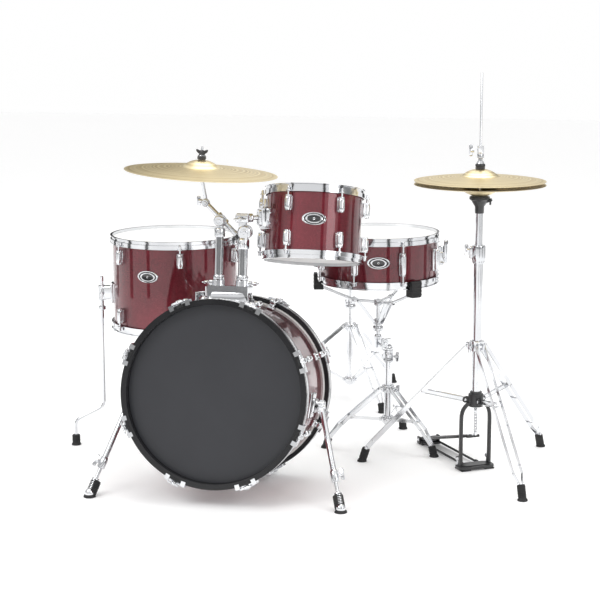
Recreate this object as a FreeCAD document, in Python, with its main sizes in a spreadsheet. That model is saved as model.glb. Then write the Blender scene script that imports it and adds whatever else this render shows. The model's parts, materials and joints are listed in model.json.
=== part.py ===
import FreeCAD, Part
import math
import os
import re
import Sketcher
from FreeCAD import Placement, Rotation, Vector

# Acoustic drum kit, millimetres. +Z is up, the bass drum's front head faces -Y and
# the drummer sits on the +Y side. Pieces are laid out about the bass drum's middle,
# then the whole kit is moved so that the origin is under the middle of its box.

SHEET_ROWS = [
    # bass drum
    ("bassRadius", 228.6), ("bassDepth", 300), ("bassWall", 7), ("bassTilt", 7.9),
    ("bassHoopOuter", 245), ("bassHoopDepth", 37), ("bassHoopReach", 23), ("bassLugCount", 8),
    ("clawSpan", 46), ("headFilm", 0.8), ("fleshRing", 4), ("skirtDepth", 3),
    # mount on the bass drum, its two posts and the joints above them
    ("mountLength", 108), ("mountDepth", 60), ("mountHeight", 46), ("mountForward", 14),
    ("postSpacing", 64.5), ("cymbalPostRadius", 11), ("tomPostRadius", 12.5), ("postInside", 75),
    ("cymbalPostTop", 704), ("tomPostTop", 662), ("tomJointHeight", 681), ("jointRadius", 17),
    ("runningFit", 0.05),
    # rack tom
    ("tomRadius", 127), ("tomDepth", 178), ("tomTilt", 13.5), ("tomX", 200), ("tomY", 145), ("tomZ", 689.5),
    ("drumWall", 6), ("hoopRise", 9), ("hoopDrop", 13), ("hoopWall", 2), ("hoopRoll", 7.5),
    ("lugOffset", 13), ("tensionRodRadius", 2.75), ("tomLugCount", 6), ("tomLugLength", 40),
    ("armRodRadius", 6), ("armHeight", 717), ("elbowX", 28),
    # crash cymbal and boom
    ("crashRadius", 203.2), ("crashBow", 14), ("crashBell", 18), ("crashBellRadius", 50),
    ("crashRoll", 3.6),
    ("crashX", -88), ("crashY", 66), ("crashZ", 834), ("cymbalThickness", 1.3), ("cymbalHole", 7),
    ("boomRadius", 7), ("boomTail", 66), ("boomHead", 62), ("boomRise", 45), ("cymbalRodRadius", 3),
    # floor tom
    ("floorRadius", 177.8), ("floorDepth", 254), ("floorX", -257.7), ("floorY", 399.2), ("floorTop", 612.6),
    ("floorLegRadius", 4.8), ("floorLegReach", 212), ("floorFootReach", 296), ("floorLegTop", 499),
    # snare drum and its stand
    ("snareRadius", 165.1), ("snareDepth", 127), ("snareX", 322.4), ("snareY", 486.4), ("snareTop", 624.7),
    ("snareLugCount", 8), ("snareLugLength", 64), ("standX", 350), ("standY", 508),
    ("standTubeRadius", 11), ("standFootReach", 187), ("standCollar", 168), ("standHub", 77),
    ("standPostRadius", 8.5), ("standJoint", 305), ("basketHub", 428),
    # hi-hat
    ("hatX", 626.2), ("hatY", 301.6), ("hatRadius", 177.8), ("hatBow", 12), ("hatBell", 19),
    ("hatBellRadius", 52), ("hatTopHeight", 803), ("hatGap", 10.5), ("hatTubeRadius", 12.4),
    ("hatTubeWall", 1.5), ("hatUpperRadius", 9.5), ("hatRodRadius", 3), ("hatRodTop", 1092),
    ("hatCollar", 349), ("hatHub", 196), ("hatFootReach", 319), ("hatBraceReach", 146),
    ("hatFoot", 40), ("hatLegTurn", -61.3), ("hatPedalTurn", 123.6), ("hatPedalLength", 270),
    # throne
    ("throneX", 137), ("throneY", 1085), ("throneTubeRadius", 12), ("throneFootReach", 250),
    ("throneCollar", 235), ("throneHub", 56), ("throneSeatBottom", 440), ("throneSeatTop", 514),
    ("throneSeatRadius", 150), ("thronePostRadius", 10),
    # kick pedal
    ("kickY", 172), ("kickLength", 262), ("kickAxle", 158), ("kickWidth", 64),
    # spurs
    ("spurX", 334.6), ("spurY", -173.6), ("spurPivotReach", 261), ("spurPivotAngle", -7),
    ("spurTubeRadius", 7.5), ("spurRodRadius", 5),
]

doc = FreeCAD.newDocument("DrumKit")
sheet = doc.addObject("Spreadsheet::Sheet", "sizes")
for row, (word, value) in enumerate(SHEET_ROWS, start=1):
    sheet.set(f"A{row}", word)
    sheet.set(f"B{row}", str(value))
    sheet.setAlias(f"B{row}", word)
doc.recompute()


class Size:
    """A length that knows both its value and the spreadsheet rule it comes from."""

    def __init__(self, value, rule):
        self.value = value
        self.rule = rule

    def _join(self, other, sign, value, swap=False):
        other_rule = other.rule if isinstance(other, Size) else repr(float(other))
        left, right = (other_rule, self.rule) if swap else (self.rule, other_rule)
        return Size(value, f"({left} {sign} {right})")

    def __add__(self, other):
        return self._join(other, "+", self.value + float(other))

    def __radd__(self, other):
        return self._join(other, "+", float(other) + self.value, swap=True)

    def __sub__(self, other):
        return self._join(other, "-", self.value - float(other))

    def __rsub__(self, other):
        return self._join(other, "-", float(other) - self.value, swap=True)

    def __mul__(self, other):
        return self._join(other, "*", self.value * float(other))

    def __rmul__(self, other):
        return self._join(other, "*", float(other) * self.value, swap=True)

    def __truediv__(self, other):
        return self._join(other, "/", self.value / float(other))

    def __neg__(self):
        return Size(-self.value, f"(0 - {self.rule})")

    def __float__(self):
        return float(self.value)


class Sizes:
    """The sheet's cells by name."""

    def __getattr__(self, word):
        return Size(float(sheet.get(word)), f"sizes.{word}")


s = Sizes()
UP = Vector(0, 0, 1)
ALONG_X = Vector(1, 0, 0)
ALONG_Y = Vector(0, 1, 0)
parts = {}      # node name -> document object


def at(x, y, z):
    return Vector(float(x), float(y), float(z))


def around(angle, reach, height=0):
    """Point at a polar angle (degrees from +X) and reach from the Z axis."""
    turn = math.radians(float(angle))
    return at(float(reach) * math.cos(turn), float(reach) * math.sin(turn), height)


def give(piece, field, size):
    """Bind a field to its rule in the sheet, or set a plain number."""
    if isinstance(size, Size):
        piece.setExpression(field, size.rule)
    else:
        setattr(piece, field, size)


def facing(direction, start):
    return Placement(start, Rotation(UP, direction))


def framed(along, sideways, start):
    """Placement whose Z runs along one direction and whose X lies near another."""
    return Placement(start, Rotation(sideways, Vector(), along, "ZXY"))


def bar(radius, start, end):
    """Round solid bar between two points."""
    piece = doc.addObject("Part::Cylinder", "bar")
    give(piece, "Radius", radius)
    piece.Height = (end - start).Length
    piece.Placement = facing(end - start, start)
    return piece


def stack(*rounds, base=0.0):
    """Bars on the Z axis, each given by its radius and its two heights above a base."""
    return [bar(radius, at(0, 0, base + low), at(0, 0, base + high)) for radius, low, high in rounds]


def drum_of(radius, height, start, direction=UP):
    """Cylinder with both sizes bound."""
    piece = doc.addObject("Part::Cylinder", "disc")
    give(piece, "Radius", radius)
    give(piece, "Height", height)
    piece.Placement = facing(direction, start)
    return piece


def cone(radius_low, radius_high, height, start, direction=UP):
    piece = doc.addObject("Part::Cone", "cone")
    give(piece, "Radius1", radius_low)
    give(piece, "Radius2", radius_high)
    give(piece, "Height", height)
    piece.Placement = facing(direction, start)
    return piece


def ball(radius, centre):
    piece = doc.addObject("Part::Sphere", "ball")
    give(piece, "Radius", radius)
    piece.Placement = Placement(centre, Rotation())
    return piece


def block(length, width, height, centre, turn=None):
    """Box centred on a point, turned about that point."""
    piece = doc.addObject("Part::Box", "block")
    give(piece, "Length", length)
    give(piece, "Width", width)
    give(piece, "Height", height)
    turn = turn or Rotation()
    half = at(length, width, height) * 0.5
    piece.Placement = Placement(centre - turn.multVec(half), turn)
    return piece


def strip(width, thickness, start, end, sideways):
    """Flat bar from start to end; its thickness is measured along sideways."""
    frame = Rotation(sideways, Vector(), end - start, "ZXY")
    return block(thickness, width, (end - start).Length, (start + end) * 0.5, frame)


def fuse(*pieces):
    if len(pieces) == 1:
        return pieces[0]
    joined = doc.addObject("Part::MultiFuse", "fuse")
    joined.Shapes = list(pieces)
    return joined


def cut(base, *tools):
    result = doc.addObject("Part::Cut", "cut")
    result.Base = base
    result.Tool = fuse(*tools)
    return result


def group(*solids):
    """Several separate solids kept together as one sub-part."""
    result = doc.addObject("Part::Compound", "group")
    result.Links = list(solids)
    return result


def keep(node, piece, placement=None):
    """Name a finished sub-part and put it in its place."""
    if placement is not None or piece.TypeId in ("Part::Cylinder", "Part::Box", "Part::Cone"):
        if piece.TypeId != "PartDesign::Body":
            piece = group(piece)
        piece.Placement = placement or Placement()
    piece.Label = node
    parts[node] = piece
    return piece


def turned(outline, bulges=None):
    """Solid of revolution: a closed outline of (radius, height) turned about Z.

    bulges maps the number of a side to the radius of the arc that replaces it."""
    bulges = bulges or {}
    body = doc.addObject("PartDesign::Body", "turned")
    sketch = body.newObject("Sketcher::SketchObject", "outline")
    planes = {feature.Role: feature for feature in body.Origin.OriginFeatures}
    sketch.AttachmentSupport = (planes["XZ_Plane"], [""])
    sketch.MapMode = "FlatFace"
    count = len(outline)
    corners = [at(radius, height, 0) for radius, height in outline]
    for side in range(count):
        first, last = corners[side], corners[(side + 1) % count]
        if side in bulges:
            sketch.addGeometry(bulging(first, last, float(bulges[side])))
        else:
            sketch.addGeometry(Part.LineSegment(first, last))
    for side in range(count):
        corner = (side + 1) % count
        point = corners[corner]
        ends = (side, end_of(sketch, side, point), corner, end_of(sketch, corner, point))
        sketch.addConstraint(Sketcher.Constraint("Coincident", *ends))
        pin(sketch, *ends[2:], outline[corner])
    for side, radius in bulges.items():
        mark = sketch.addConstraint(Sketcher.Constraint("Radius", side, abs(float(radius))))
        if isinstance(radius, Size):
            rule = radius.rule if float(radius) > 0 else (-radius).rule
            sketch.setExpression(f"Constraints[{mark}]", rule)
    spin = body.newObject("PartDesign::Revolution", "spin")
    spin.Profile = sketch
    spin.ReferenceAxis = (planes["Z_Axis"], [""])
    spin.Angle = 360
    return body


def bulging(first, last, radius):
    """Arc of a signed radius between two points; positive bows to the left of travel."""
    middle = (first + last) * 0.5
    chord = last - first
    side = Vector(-chord.y, chord.x, 0).normalize() * math.copysign(1, radius)
    sag = abs(radius) - math.sqrt(radius ** 2 - (chord.Length / 2) ** 2)
    if radius > 0:
        first, last = last, first      # a sketch wants its arcs counter-clockwise
    return Part.Arc(first, middle + side * sag, last)


def end_of(sketch, side, corner):
    """Which end of a side, 1 or 2, lies at a corner."""
    curve = sketch.Geometry[side]
    return 1 if curve.StartPoint.distanceToPoint(corner) < 0.001 else 2


def pin(sketch, side, end, corner):
    """Hold one end of a side at its radius and height."""
    for kind, size in zip(("DistanceX", "DistanceY"), corner):
        value = float(size)
        if abs(value) < 1e-9:
            axis = -2 if kind == "DistanceX" else -1
            sketch.addConstraint(Sketcher.Constraint("PointOnObject", side, end, axis))
            continue
        ends = (-1, 1, side, end) if value > 0 else (side, end, -1, 1)
        mark = sketch.addConstraint(Sketcher.Constraint(kind, *ends, abs(value)))
        if isinstance(size, Size):
            rule = size.rule if value > 0 else (-size).rule
            sketch.setExpression(f"Constraints[{mark}]", rule)


def ring(inner, outer, low, high):
    return turned([(inner, low), (outer, low), (outer, high), (inner, high)])


def mirrored(outline):
    """The same outline below the XY plane."""
    return [(radius, -height) for radius, height in reversed(outline)]


def wing_screw(root, direction, wing_along, length=16, wing=13):
    """Threaded stud with a boss and two thin wings."""
    direction = Vector(direction).normalize()
    tip = root + direction * length
    paddle = framed(direction, wing_along, tip).Rotation
    return [bar(2.6, root, tip), bar(4.4, tip - direction * 5, tip + direction * 4),
            block(2 * wing, 2.6, 9, tip + direction * 3, paddle)]


# ---------------------------------------------------------------- drums

def head_outline(radius, edge, skirt):
    ring_out = radius + 0.6 + s.fleshRing
    return [(0, edge), (radius + 0.3, edge), (radius + 0.3, edge - skirt - s.fleshRing),
            (ring_out, edge - skirt - s.fleshRing), (ring_out, edge - skirt),
            (radius + 1.1, edge - skirt), (radius + 1.1, edge + s.headFilm), (0, edge + s.headFilm)]


def steel_hoop(radius, edge):
    """Triple-flanged hoop that presses on the head's ring."""
    step = edge - s.skirtDepth
    inner = radius + 1.6
    lower = radius + 0.6 + s.fleshRing + 0.3
    return [(inner, step), (lower, step), (lower, edge - s.hoopDrop),
            (radius + s.hoopRoll, edge - s.hoopDrop),
            (radius + s.hoopRoll, edge - s.hoopDrop + s.hoopWall),
            (lower + s.hoopWall, edge - s.hoopDrop + s.hoopWall), (lower + s.hoopWall, step + s.hoopWall),
            (inner + s.hoopWall, step + s.hoopWall), (inner + s.hoopWall, edge + s.hoopRise - s.hoopWall),
            (radius + s.hoopRoll, edge + s.hoopRise - s.hoopWall), (radius + s.hoopRoll, edge + s.hoopRise),
            (inner, edge + s.hoopRise)]


def metal_drum(name, radius, depth, lug_angles, lug_length, paired, place, fittings=()):
    """Shell, heads, hoops and lugs of one tom or snare, made about its own middle."""
    edge = depth / 2
    keep(f"{name}_shell", ring(radius - s.drumWall, radius, -edge, edge), place)
    top_head = turned(head_outline(radius, edge, s.skirtDepth))
    low_head = turned(mirrored(head_outline(radius, edge, s.skirtDepth)))
    keep(f"{name}_heads", group(top_head, low_head), place)
    reach = radius + s.lugOffset
    hoops = []
    for sign in (1, -1):
        outline = steel_hoop(radius, edge)
        hoop = turned(outline if sign > 0 else mirrored(outline))
        level = edge - s.hoopDrop if sign > 0 else -(edge - s.hoopDrop + s.hoopWall)
        ears = [drum_of(6.5, s.hoopWall, around(angle, reach, level)) for angle in lug_angles]
        webs = [block(9, 13, s.hoopWall, around(angle, reach - 4, level + s.hoopWall / 2),
                      Rotation(UP, angle)) for angle in lug_angles]
        bores = [drum_of(s.tensionRodRadius + 0.6, 30, around(angle, reach, float(level) - 15))
                 for angle in lug_angles]
        hoops.append(cut(fuse(hoop, *ears, *webs), *bores))
    keep(f"{name}_hoops", group(*hoops), place)
    shell_space = drum_of(radius + s.runningFit, depth, at(0, 0, -edge))
    lugs = []
    for angle in lug_angles:
        lugs += lug_set(radius, edge, angle, lug_length, paired, shell_space)
    keep(f"{name}_lugs", group(*lugs, *fittings), place)


def lug_set(radius, edge, angle, length, paired, shell_space):
    """Lugs and tension rods at one angle: one long lug, or one for each end."""
    reach = radius + s.lugOffset
    turn = Rotation(UP, angle)
    ear_top = edge - s.hoopDrop + s.hoopWall
    rods = []
    for sign in (1, -1):
        washer_face = around(angle, reach, ear_top * sign)
        outward = UP * sign
        rods.append([drum_of(5, 1.4, washer_face, outward),
                     drum_of(3.6, 9, washer_face, outward),
                     bar(s.tensionRodRadius, around(angle, reach, float(edge - s.hoopDrop - 24) * sign),
                         washer_face)])
    base = around(angle, radius + 4, 0)
    if paired:
        body = [block(12, 15, length, base, turn), drum_of(6.5, length, around(angle, reach, -length / 2)),
                block(s.lugOffset, 11, length - 16, around(angle, radius + 8, 0), turn)]
        return [cut(fuse(*body, *rods[0], *rods[1]), shell_space)]
    lugs = []
    for sign, rod in zip((1, -1), rods):
        middle = float(edge - s.hoopDrop - 10 - length / 2) * sign
        low_end = around(angle, reach, middle - float(length) / 2)
        body = [block(12, 17, length, base + UP * middle, turn), drum_of(6.8, length, low_end),
                block(s.lugOffset, 12, length - 12, around(angle, radius + 8, middle), turn)]
        lugs.append(cut(fuse(*body, *rod), shell_space))
    return lugs


def place_from(x, y, z, turn=None):
    return Placement(at(x, y, z), turn or Rotation())


# bass drum: its own Z runs to the front head, its own Y runs up
bass_turn = Rotation(ALONG_X, 90 - float(s.bassTilt))
tilt = math.radians(float(s.bassTilt))
rest_height = float(s.bassHoopOuter) * math.cos(tilt) \
    + (float(s.bassDepth) / 2 + float(s.bassHoopReach)) * math.sin(tilt)
bass_place = Placement(Vector(0, 0, rest_height), bass_turn)


def in_bass(x, y, z):
    """World point of a place given in the bass drum's own directions."""
    return bass_place.multVec(at(x, y, z))


def bass_drum():
    edge = s.bassDepth / 2
    skirt = s.bassHoopDepth - s.bassHoopReach
    holes = []
    for side, radius in ((-1, s.cymbalPostRadius), (1, s.tomPostRadius)):
        start = at(side * s.postSpacing / 2, s.bassRadius - 40, s.mountForward)
        holes.append(drum_of(radius + 2, 60, start, ALONG_Y))
    shell = ring(s.bassRadius - s.bassWall, s.bassRadius, -edge, edge)
    keep("bass_shell", cut(shell, *holes), bass_place)
    outline = head_outline(s.bassRadius, edge, skirt)
    keep("bass_front_head", turned(outline), bass_place)
    keep("bass_batter_head", turned(mirrored(outline)), bass_place)
    inner = s.bassRadius + 1.6
    face = edge + s.bassHoopReach
    rim = [(inner, edge - skirt), (s.bassHoopOuter, edge - skirt), (s.bassHoopOuter, face), (inner, face)]
    keep("bass_hoops", group(turned(rim), turned(mirrored(rim))), bass_place)
    shell_space = drum_of(s.bassRadius + s.runningFit, s.bassDepth, at(0, 0, -edge))
    rim_space = drum_of(s.bassHoopOuter + s.runningFit, s.bassHoopDepth, at(0, 0, edge - skirt))
    rear_space = drum_of(s.bassHoopOuter + s.runningFit, s.bassHoopDepth, at(0, 0, -face))
    lugs = []
    for number in range(int(s.bassLugCount.value)):
        angle = (number + 0.5) * 360 / s.bassLugCount.value
        for sign in (1, -1):
            lugs.extend(bass_lug(angle, sign, edge, shell_space, rim_space if sign > 0 else rear_space))
    keep("bass_lugs", group(*lugs), bass_place)


def bass_lug(angle, sign, edge, shell_space, rim_space):
    """Lug on the shell, and the claw with its T-handled rod over the wooden hoop."""
    turn = Rotation(UP, angle)
    out = turn.multVec(ALONG_X)
    side = turn.multVec(ALONG_Y)
    reach = s.bassHoopOuter + 6
    face = float(edge + s.bassHoopReach)
    start = float(edge) - 58

    def spot(radius, height, shift=0):
        return out * float(radius) + side * shift + UP * (height * sign)

    lug = cut(fuse(block(16, 19, 34, spot(s.bassRadius + 6, start), turn),
                   bar(7, spot(reach, start - 17), spot(reach, start + 17)),
                   block(14, 11, 26, spot(s.bassRadius + 13, start), turn)), shell_space)
    bridge = spot(s.bassHoopOuter + 3.4, face - 13)
    claw = [block(6.6, s.clawSpan + 12, 15, bridge, turn),
            block(10, 14, 22, spot(s.bassHoopOuter + 6, face - 10), turn)]
    for shift in (-0.5, 0.5):
        offset = shift * float(s.clawSpan)
        claw.append(block(6.6, 12, 25, spot(s.bassHoopOuter + 3.4, face - 9.5, offset), turn))
        claw.append(block(14.6, 12, 3, spot(s.bassHoopOuter - 0.6, face + 1.55, offset), turn))
    tail = spot(reach, start + 18)
    end = spot(reach, face + 11)
    claw += [bar(3, tail, end), bar(5, spot(reach, face - 1), spot(reach, face + 4)),
             bar(2.4, end - side * 15, end + side * 15), bar(3.6, end - UP * 3, end + UP * 3)]
    return [lug, cut(fuse(*claw), rim_space)]


def bass_mount():
    """Box on top of the drum with a clamp for each post."""
    half = s.postSpacing / 2
    box_middle = s.bassRadius + s.mountHeight / 2 - 9
    box = block(s.mountLength, s.mountHeight + 18, s.mountDepth, at(0, box_middle, s.mountForward))
    lip = block(s.mountLength + 14, 26, s.mountDepth - 14, at(0, s.bassRadius - 2, s.mountForward))
    collars = []
    bores = []
    for side, radius in ((-1, s.cymbalPostRadius), (1, s.tomPostRadius)):
        foot = at(side * half, s.bassRadius + s.mountHeight - 1, s.mountForward)
        collars.append(drum_of(radius + 5, 15, foot, ALONG_Y))
        collars.append(block(10, 13, 12, foot + at(side * (radius + 7), 7.5, 0)))
        collars += wing_screw(foot + at(side * (radius + 8), 8, 0), at(side, 0, 0), UP, 14, 11)
        bores.append(drum_of(radius + s.runningFit, 200, foot - at(0, 100, 0), ALONG_Y))
    shell_space = drum_of(s.bassRadius + s.runningFit, s.bassDepth, at(0, 0, -s.bassDepth / 2))
    return cut(fuse(box, lip, *collars), *bores, shell_space)


def post_foot(side):
    """World point where a post's axis meets the top of its clamp, and the posts' direction."""
    foot = in_bass(side * s.postSpacing / 2, s.bassRadius + s.mountHeight, s.mountForward)
    return foot, bass_turn.multVec(ALONG_Y)


def along_post(side, height):
    """World point of a post's axis at a height above the floor."""
    foot, direction = post_foot(side)
    return foot + direction * ((float(height) - foot.z) / direction.z)


def tom_mount():
    foot, direction = post_foot(1)
    top = along_post(1, s.tomPostTop)
    joint = along_post(1, s.tomJointHeight) + at(4, 0, 0)
    neck = [block(20, 12, 22, top + direction * 8 + at(3, -6, 0)),
            drum_of(s.jointRadius, 11, joint + at(0, -0.3, 0), -ALONG_Y)]
    keep("tom_post", fuse(bar(s.tomPostRadius, foot - direction * float(s.postInside), top), *neck,
                          bar(s.tomPostRadius + 2.5, top - direction * 16, top)), Placement())
    elbow = at(s.elbowX, joint.y + 8, s.armHeight)
    hold = arm_grip()
    aim = (hold - elbow).normalize()
    lock = elbow + aim * 19
    arm = [drum_of(s.jointRadius, 15, joint + at(0, 0.3, 0), ALONG_Y),
           block(20, 15, 38, (joint + elbow) * 0.5 + at(-4, 4, 0)),
           block(34, 18, 22, elbow + at(0, 0, 0)),
           bar(s.armRodRadius, elbow, hold + aim * 12),
           bar(10.5, lock, lock + aim * 8)]
    arm += wing_screw(elbow + at(-2, -8, 0), at(0, -1, 0), ALONG_X, 13, 11)
    keep("tom_arm", fuse(*arm), Placement())
    return joint


def arm_grip():
    """Where the arm's rod enters the tom's bracket."""
    elbow_y = along_post(1, s.tomJointHeight).y + 8
    outward = (at(s.elbowX, elbow_y, 0) - at(s.tomX, s.tomY, 0)).normalize()
    return at(s.tomX, s.tomY, s.armHeight) + outward * float(s.tomRadius + 20)


def tom():
    turn = Rotation(ALONG_X, -float(s.tomTilt))
    place = Placement(at(s.tomX, s.tomY, s.tomZ), turn)
    count = s.tomLugCount.value
    angles = [-90 + 11.2 + (number + 0.5) * 360 / count for number in range(int(count))]
    metal_drum("tom", s.tomRadius, s.tomDepth, angles, s.tomLugLength, False, place)
    grip = arm_grip()
    outward = (at(grip.x, grip.y, 0) - at(s.tomX, s.tomY, 0)).normalize()
    frame = Rotation(outward, Vector(), UP, "ZXY")
    housing = [block(24, 20, 40, grip - outward * 4, frame),
               block(26, 30, 54, grip - outward * 12 - UP * 2, frame),
               cone(9, 3, 16, grip - outward * 4 - UP * 20, -UP)]
    housing += wing_screw(grip + UP * 19 - outward * 4, UP, frame.multVec(ALONG_Y), 9, 9)
    bore = bar(s.armRodRadius + s.runningFit, grip + outward * 20, grip - outward * 14)
    space = drum_of(s.tomRadius + s.runningFit, s.tomDepth + 60, at(0, 0, -s.tomDepth / 2 - 30))
    space_here = group(space)
    space_here.Placement = place
    keep("tom_bracket", cut(fuse(*housing), bore, space_here), Placement())
    return grip, outward


def crash():
    """Post, boom with its clamp, tilter, felts and the crash cymbal."""
    foot, direction = post_foot(-1)
    top = along_post(-1, s.cymbalPostTop - 16)
    joint = at(top.x, s.crashY - 26, float(s.cymbalPostTop) + 6)
    keep("cymbal_post", fuse(bar(s.cymbalPostRadius, foot - direction * float(s.postInside), top),
                             bar(s.cymbalPostRadius + 2.5, top - direction * 14, top),
                             drum_of(13, 10, joint + at(0, 0, 0), ALONG_Y),
                             block(16, 10, 26, at(joint.x, joint.y + 5, joint.z - 13))), Placement())
    rise = math.radians(float(s.boomRise))
    aim = Vector(-math.cos(rise), 0, math.sin(rise))
    centre = at(joint.x, s.crashY, joint.z)
    sleeve = bar(s.boomRadius + 4, centre - aim * 15, centre + aim * 15)
    clamp = fuse(sleeve, drum_of(13, 14, joint + at(0, 10.3, 0), ALONG_Y),
                 *wing_screw(centre + at(0, 8, 0), ALONG_Y, aim, 12, 12))
    keep("boom_clamp", cut(clamp, bar(s.boomRadius + s.runningFit, centre - aim * 90, centre + aim * 90)),
         Placement())
    head = centre + aim * float(s.boomHead)
    neck = head - ALONG_Y * 4.2
    keep("boom_tube", fuse(bar(s.boomRadius, centre - aim * float(s.boomTail), head - aim * 9.5),
                           bar(3.6, neck - aim * 16, neck),
                           drum_of(8.5, 8, head + at(0, -0.3, 0), -ALONG_Y)), Placement())
    roll = Rotation(ALONG_Y, float(s.crashRoll))
    normal = roll.multVec(UP)
    middle = at(s.crashX, s.crashY, s.crashZ)
    bell_top = middle + normal * float(s.crashBow + s.crashBell)
    seat = bell_top - normal * float(s.cymbalThickness + 13)
    knuckle = at(head.x, head.y, head.z)
    tilter = [drum_of(8.5, 8, knuckle + at(0, 0.3, 0), ALONG_Y),
              bar(5, knuckle + at(0, 6.5, 0), seat - normal * 24),
              bar(8, seat - normal * 34, seat - normal * 22),
              bar(s.cymbalRodRadius, seat - normal * 24, bell_top + normal * 36),
              bar(13, seat - normal * 4, seat - normal * 1.6)]
    tilter += wing_screw(knuckle + at(-6, 6, 4), -ALONG_X, UP, 10, 9)
    keep("cymbal_tilter", fuse(*tilter), Placement())
    hole = s.cymbalRodRadius + 0.1
    low_felt = cut(bar(11, seat - normal * 1.5, seat + normal * 11.6),
                   bar(hole, seat - normal * 5, bell_top))
    high_felt = cut(bar(11, bell_top + normal * 1.2, bell_top + normal * 12),
                    bar(hole, bell_top, bell_top + normal * 20))
    nut = cut(fuse(bar(6, bell_top + normal * 12.2, bell_top + normal * 19),
                   block(30, 3, 11, bell_top + normal * 20, roll)),
              bar(hole, bell_top, bell_top + normal * 36))
    keep("crash_felts", group(low_felt, high_felt, nut), Placement())
    keep("crash_cymbal", cymbal(s.crashRadius, s.crashBow, s.crashBell, s.crashBellRadius),
         Placement(middle, roll))
    return joint, centre, aim, knuckle, bell_top


def cymbal(radius, bow, bell, bell_radius):
    """Thin bronze disc with a shallow bow and a domed bell, its edge at height 0."""
    thick = s.cymbalThickness
    crown = bow + bell
    outline = [(radius, 0), (bell_radius, bow), (s.cymbalHole, crown), (s.cymbalHole, crown - thick),
               (bell_radius + 0.6, bow - thick), (radius, -thick * 0.6)]
    return turned(outline, {0: -1200, 1: -58, 3: 58, 4: 1200})


def floor_tom():
    edge = float(s.floorDepth) / 2
    place = place_from(s.floorX, s.floorY, float(s.floorTop) - edge)
    angles = [-90 + 20 + 60 * number for number in range(6)]
    leg_angles = [-90 - 74, -90 + 40, -90 + 164]
    brackets = []
    legs = []
    feet = []
    shell_space = drum_of(s.floorRadius + s.runningFit, s.floorDepth, at(0, 0, -edge))
    for angle in leg_angles:
        turn = Rotation(UP, angle)
        side = turn.multVec(ALONG_Y)
        hold = around(angle, s.floorLegReach, -34)
        body = [block(44, 26, 36, around(angle, s.floorRadius + 12, -34), turn),
                block(9, 40, 54, around(angle, s.floorRadius + 3, -34), turn),
                bar(10, hold - UP * 18, hold + UP * 18)]
        body += wing_screw(hold + side * 7, side, UP, 15, 10)
        tube = bar(s.floorLegRadius + s.runningFit, hold - UP * 60, hold + UP * 60)
        brackets.append(cut(fuse(*body), tube, shell_space))
        legs.append(floor_leg(angle))
        foot = around(angle, s.floorFootReach, 0) + at(s.floorX, s.floorY, 0)
        feet.append(cut(fuse(cone(13, 9.5, 7, foot), bar(9.5, foot + UP * 6, foot + UP * 29)),
                        bar(s.floorLegRadius, foot + UP * 6, foot + UP * 40)))
    metal_drum("floor_tom", s.floorRadius, s.floorDepth, angles, 40, False, place, brackets)
    keep("floor_tom_legs", group(*legs), Placement())
    return feet


def floor_leg(angle):
    """Rod bent outwards near the floor: straight runs joined by tangent arcs."""
    top = Vector(float(s.floorLegReach), 0, float(s.floorLegTop))
    knee = Vector(float(s.floorLegReach), 0, 116)
    ankle = Vector(float(s.floorFootReach), 0, 74)
    end = Vector(float(s.floorFootReach), 0, 6.2)
    route = bent_route([top, knee, ankle, end], 24)
    leg = doc.addObject("Part::Feature", "leg")
    leg.Shape = swept(route, top, -UP, float(s.floorLegRadius))
    leg.Placement = Placement(at(s.floorX, s.floorY, 0), Rotation(UP, angle))
    return leg


def bent_route(points, radius):
    """Wire through points with each corner rounded by an arc."""
    edges = []
    start = points[0]
    for before, corner, after in zip(points, points[1:], points[2:]):
        inward = (before - corner).normalize()
        outward = (after - corner).normalize()
        half = inward.getAngle(outward) / 2
        reach = radius / math.tan(half)
        bisector = (inward + outward).normalize()
        centre = corner + bisector * (radius / math.sin(half))
        middle = centre - bisector * radius
        edges.append(Part.LineSegment(start, corner + inward * reach).toShape())
        start = corner + outward * reach
        edges.append(Part.Arc(corner + inward * reach, middle, start).toShape())
    edges.append(Part.LineSegment(start, points[-1]).toShape())
    return Part.Wire(edges)


def swept(route, start, direction, radius):
    section = Part.Wire([Part.makeCircle(radius, start, direction)])
    return route.makePipeShell([section], True, True)


# ---------------------------------------------------------------- stands

def tripod(base, angles, collar_height, hub_height, reach, tube, rail_gap, brace_share):
    """Double-rail legs with their braces and rubber feet, for a fixed stand."""
    rails = []
    feet = []
    for angle in angles:
        out = around(angle, 1)
        side = around(angle + 90, 1)
        hip = base + out * (tube + 9) + UP * collar_height
        ankle = base + out * (float(reach) - 10) + UP * 30
        bend = ankle - out * 34 + UP * 40
        for sign in (-1, 1):
            shift = side * (sign * rail_gap / 2)
            rails.append(fuse(strip(10, 2.5, hip + shift, bend + shift, side),
                              strip(10, 2.5, bend + shift, ankle + shift * 0.35, side)))
        share = ankle + (hip - ankle) * brace_share
        hub = base + out * (tube + 8) + UP * hub_height
        rails.append(strip(9, 2.2, hub, share, side))
        foot = base + out * float(reach)
        body = fuse(drum_of(10, 24, foot + UP * 1.5, (ankle - foot).normalize()),
                    drum_of(12, 5, foot), drum_of(11, 3, foot + UP * 12, (ankle - foot).normalize()))
        lower = block(60, 60, 20, foot - UP * 10)
        feet.append(cut(body, lower))
    return rails, feet


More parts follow.
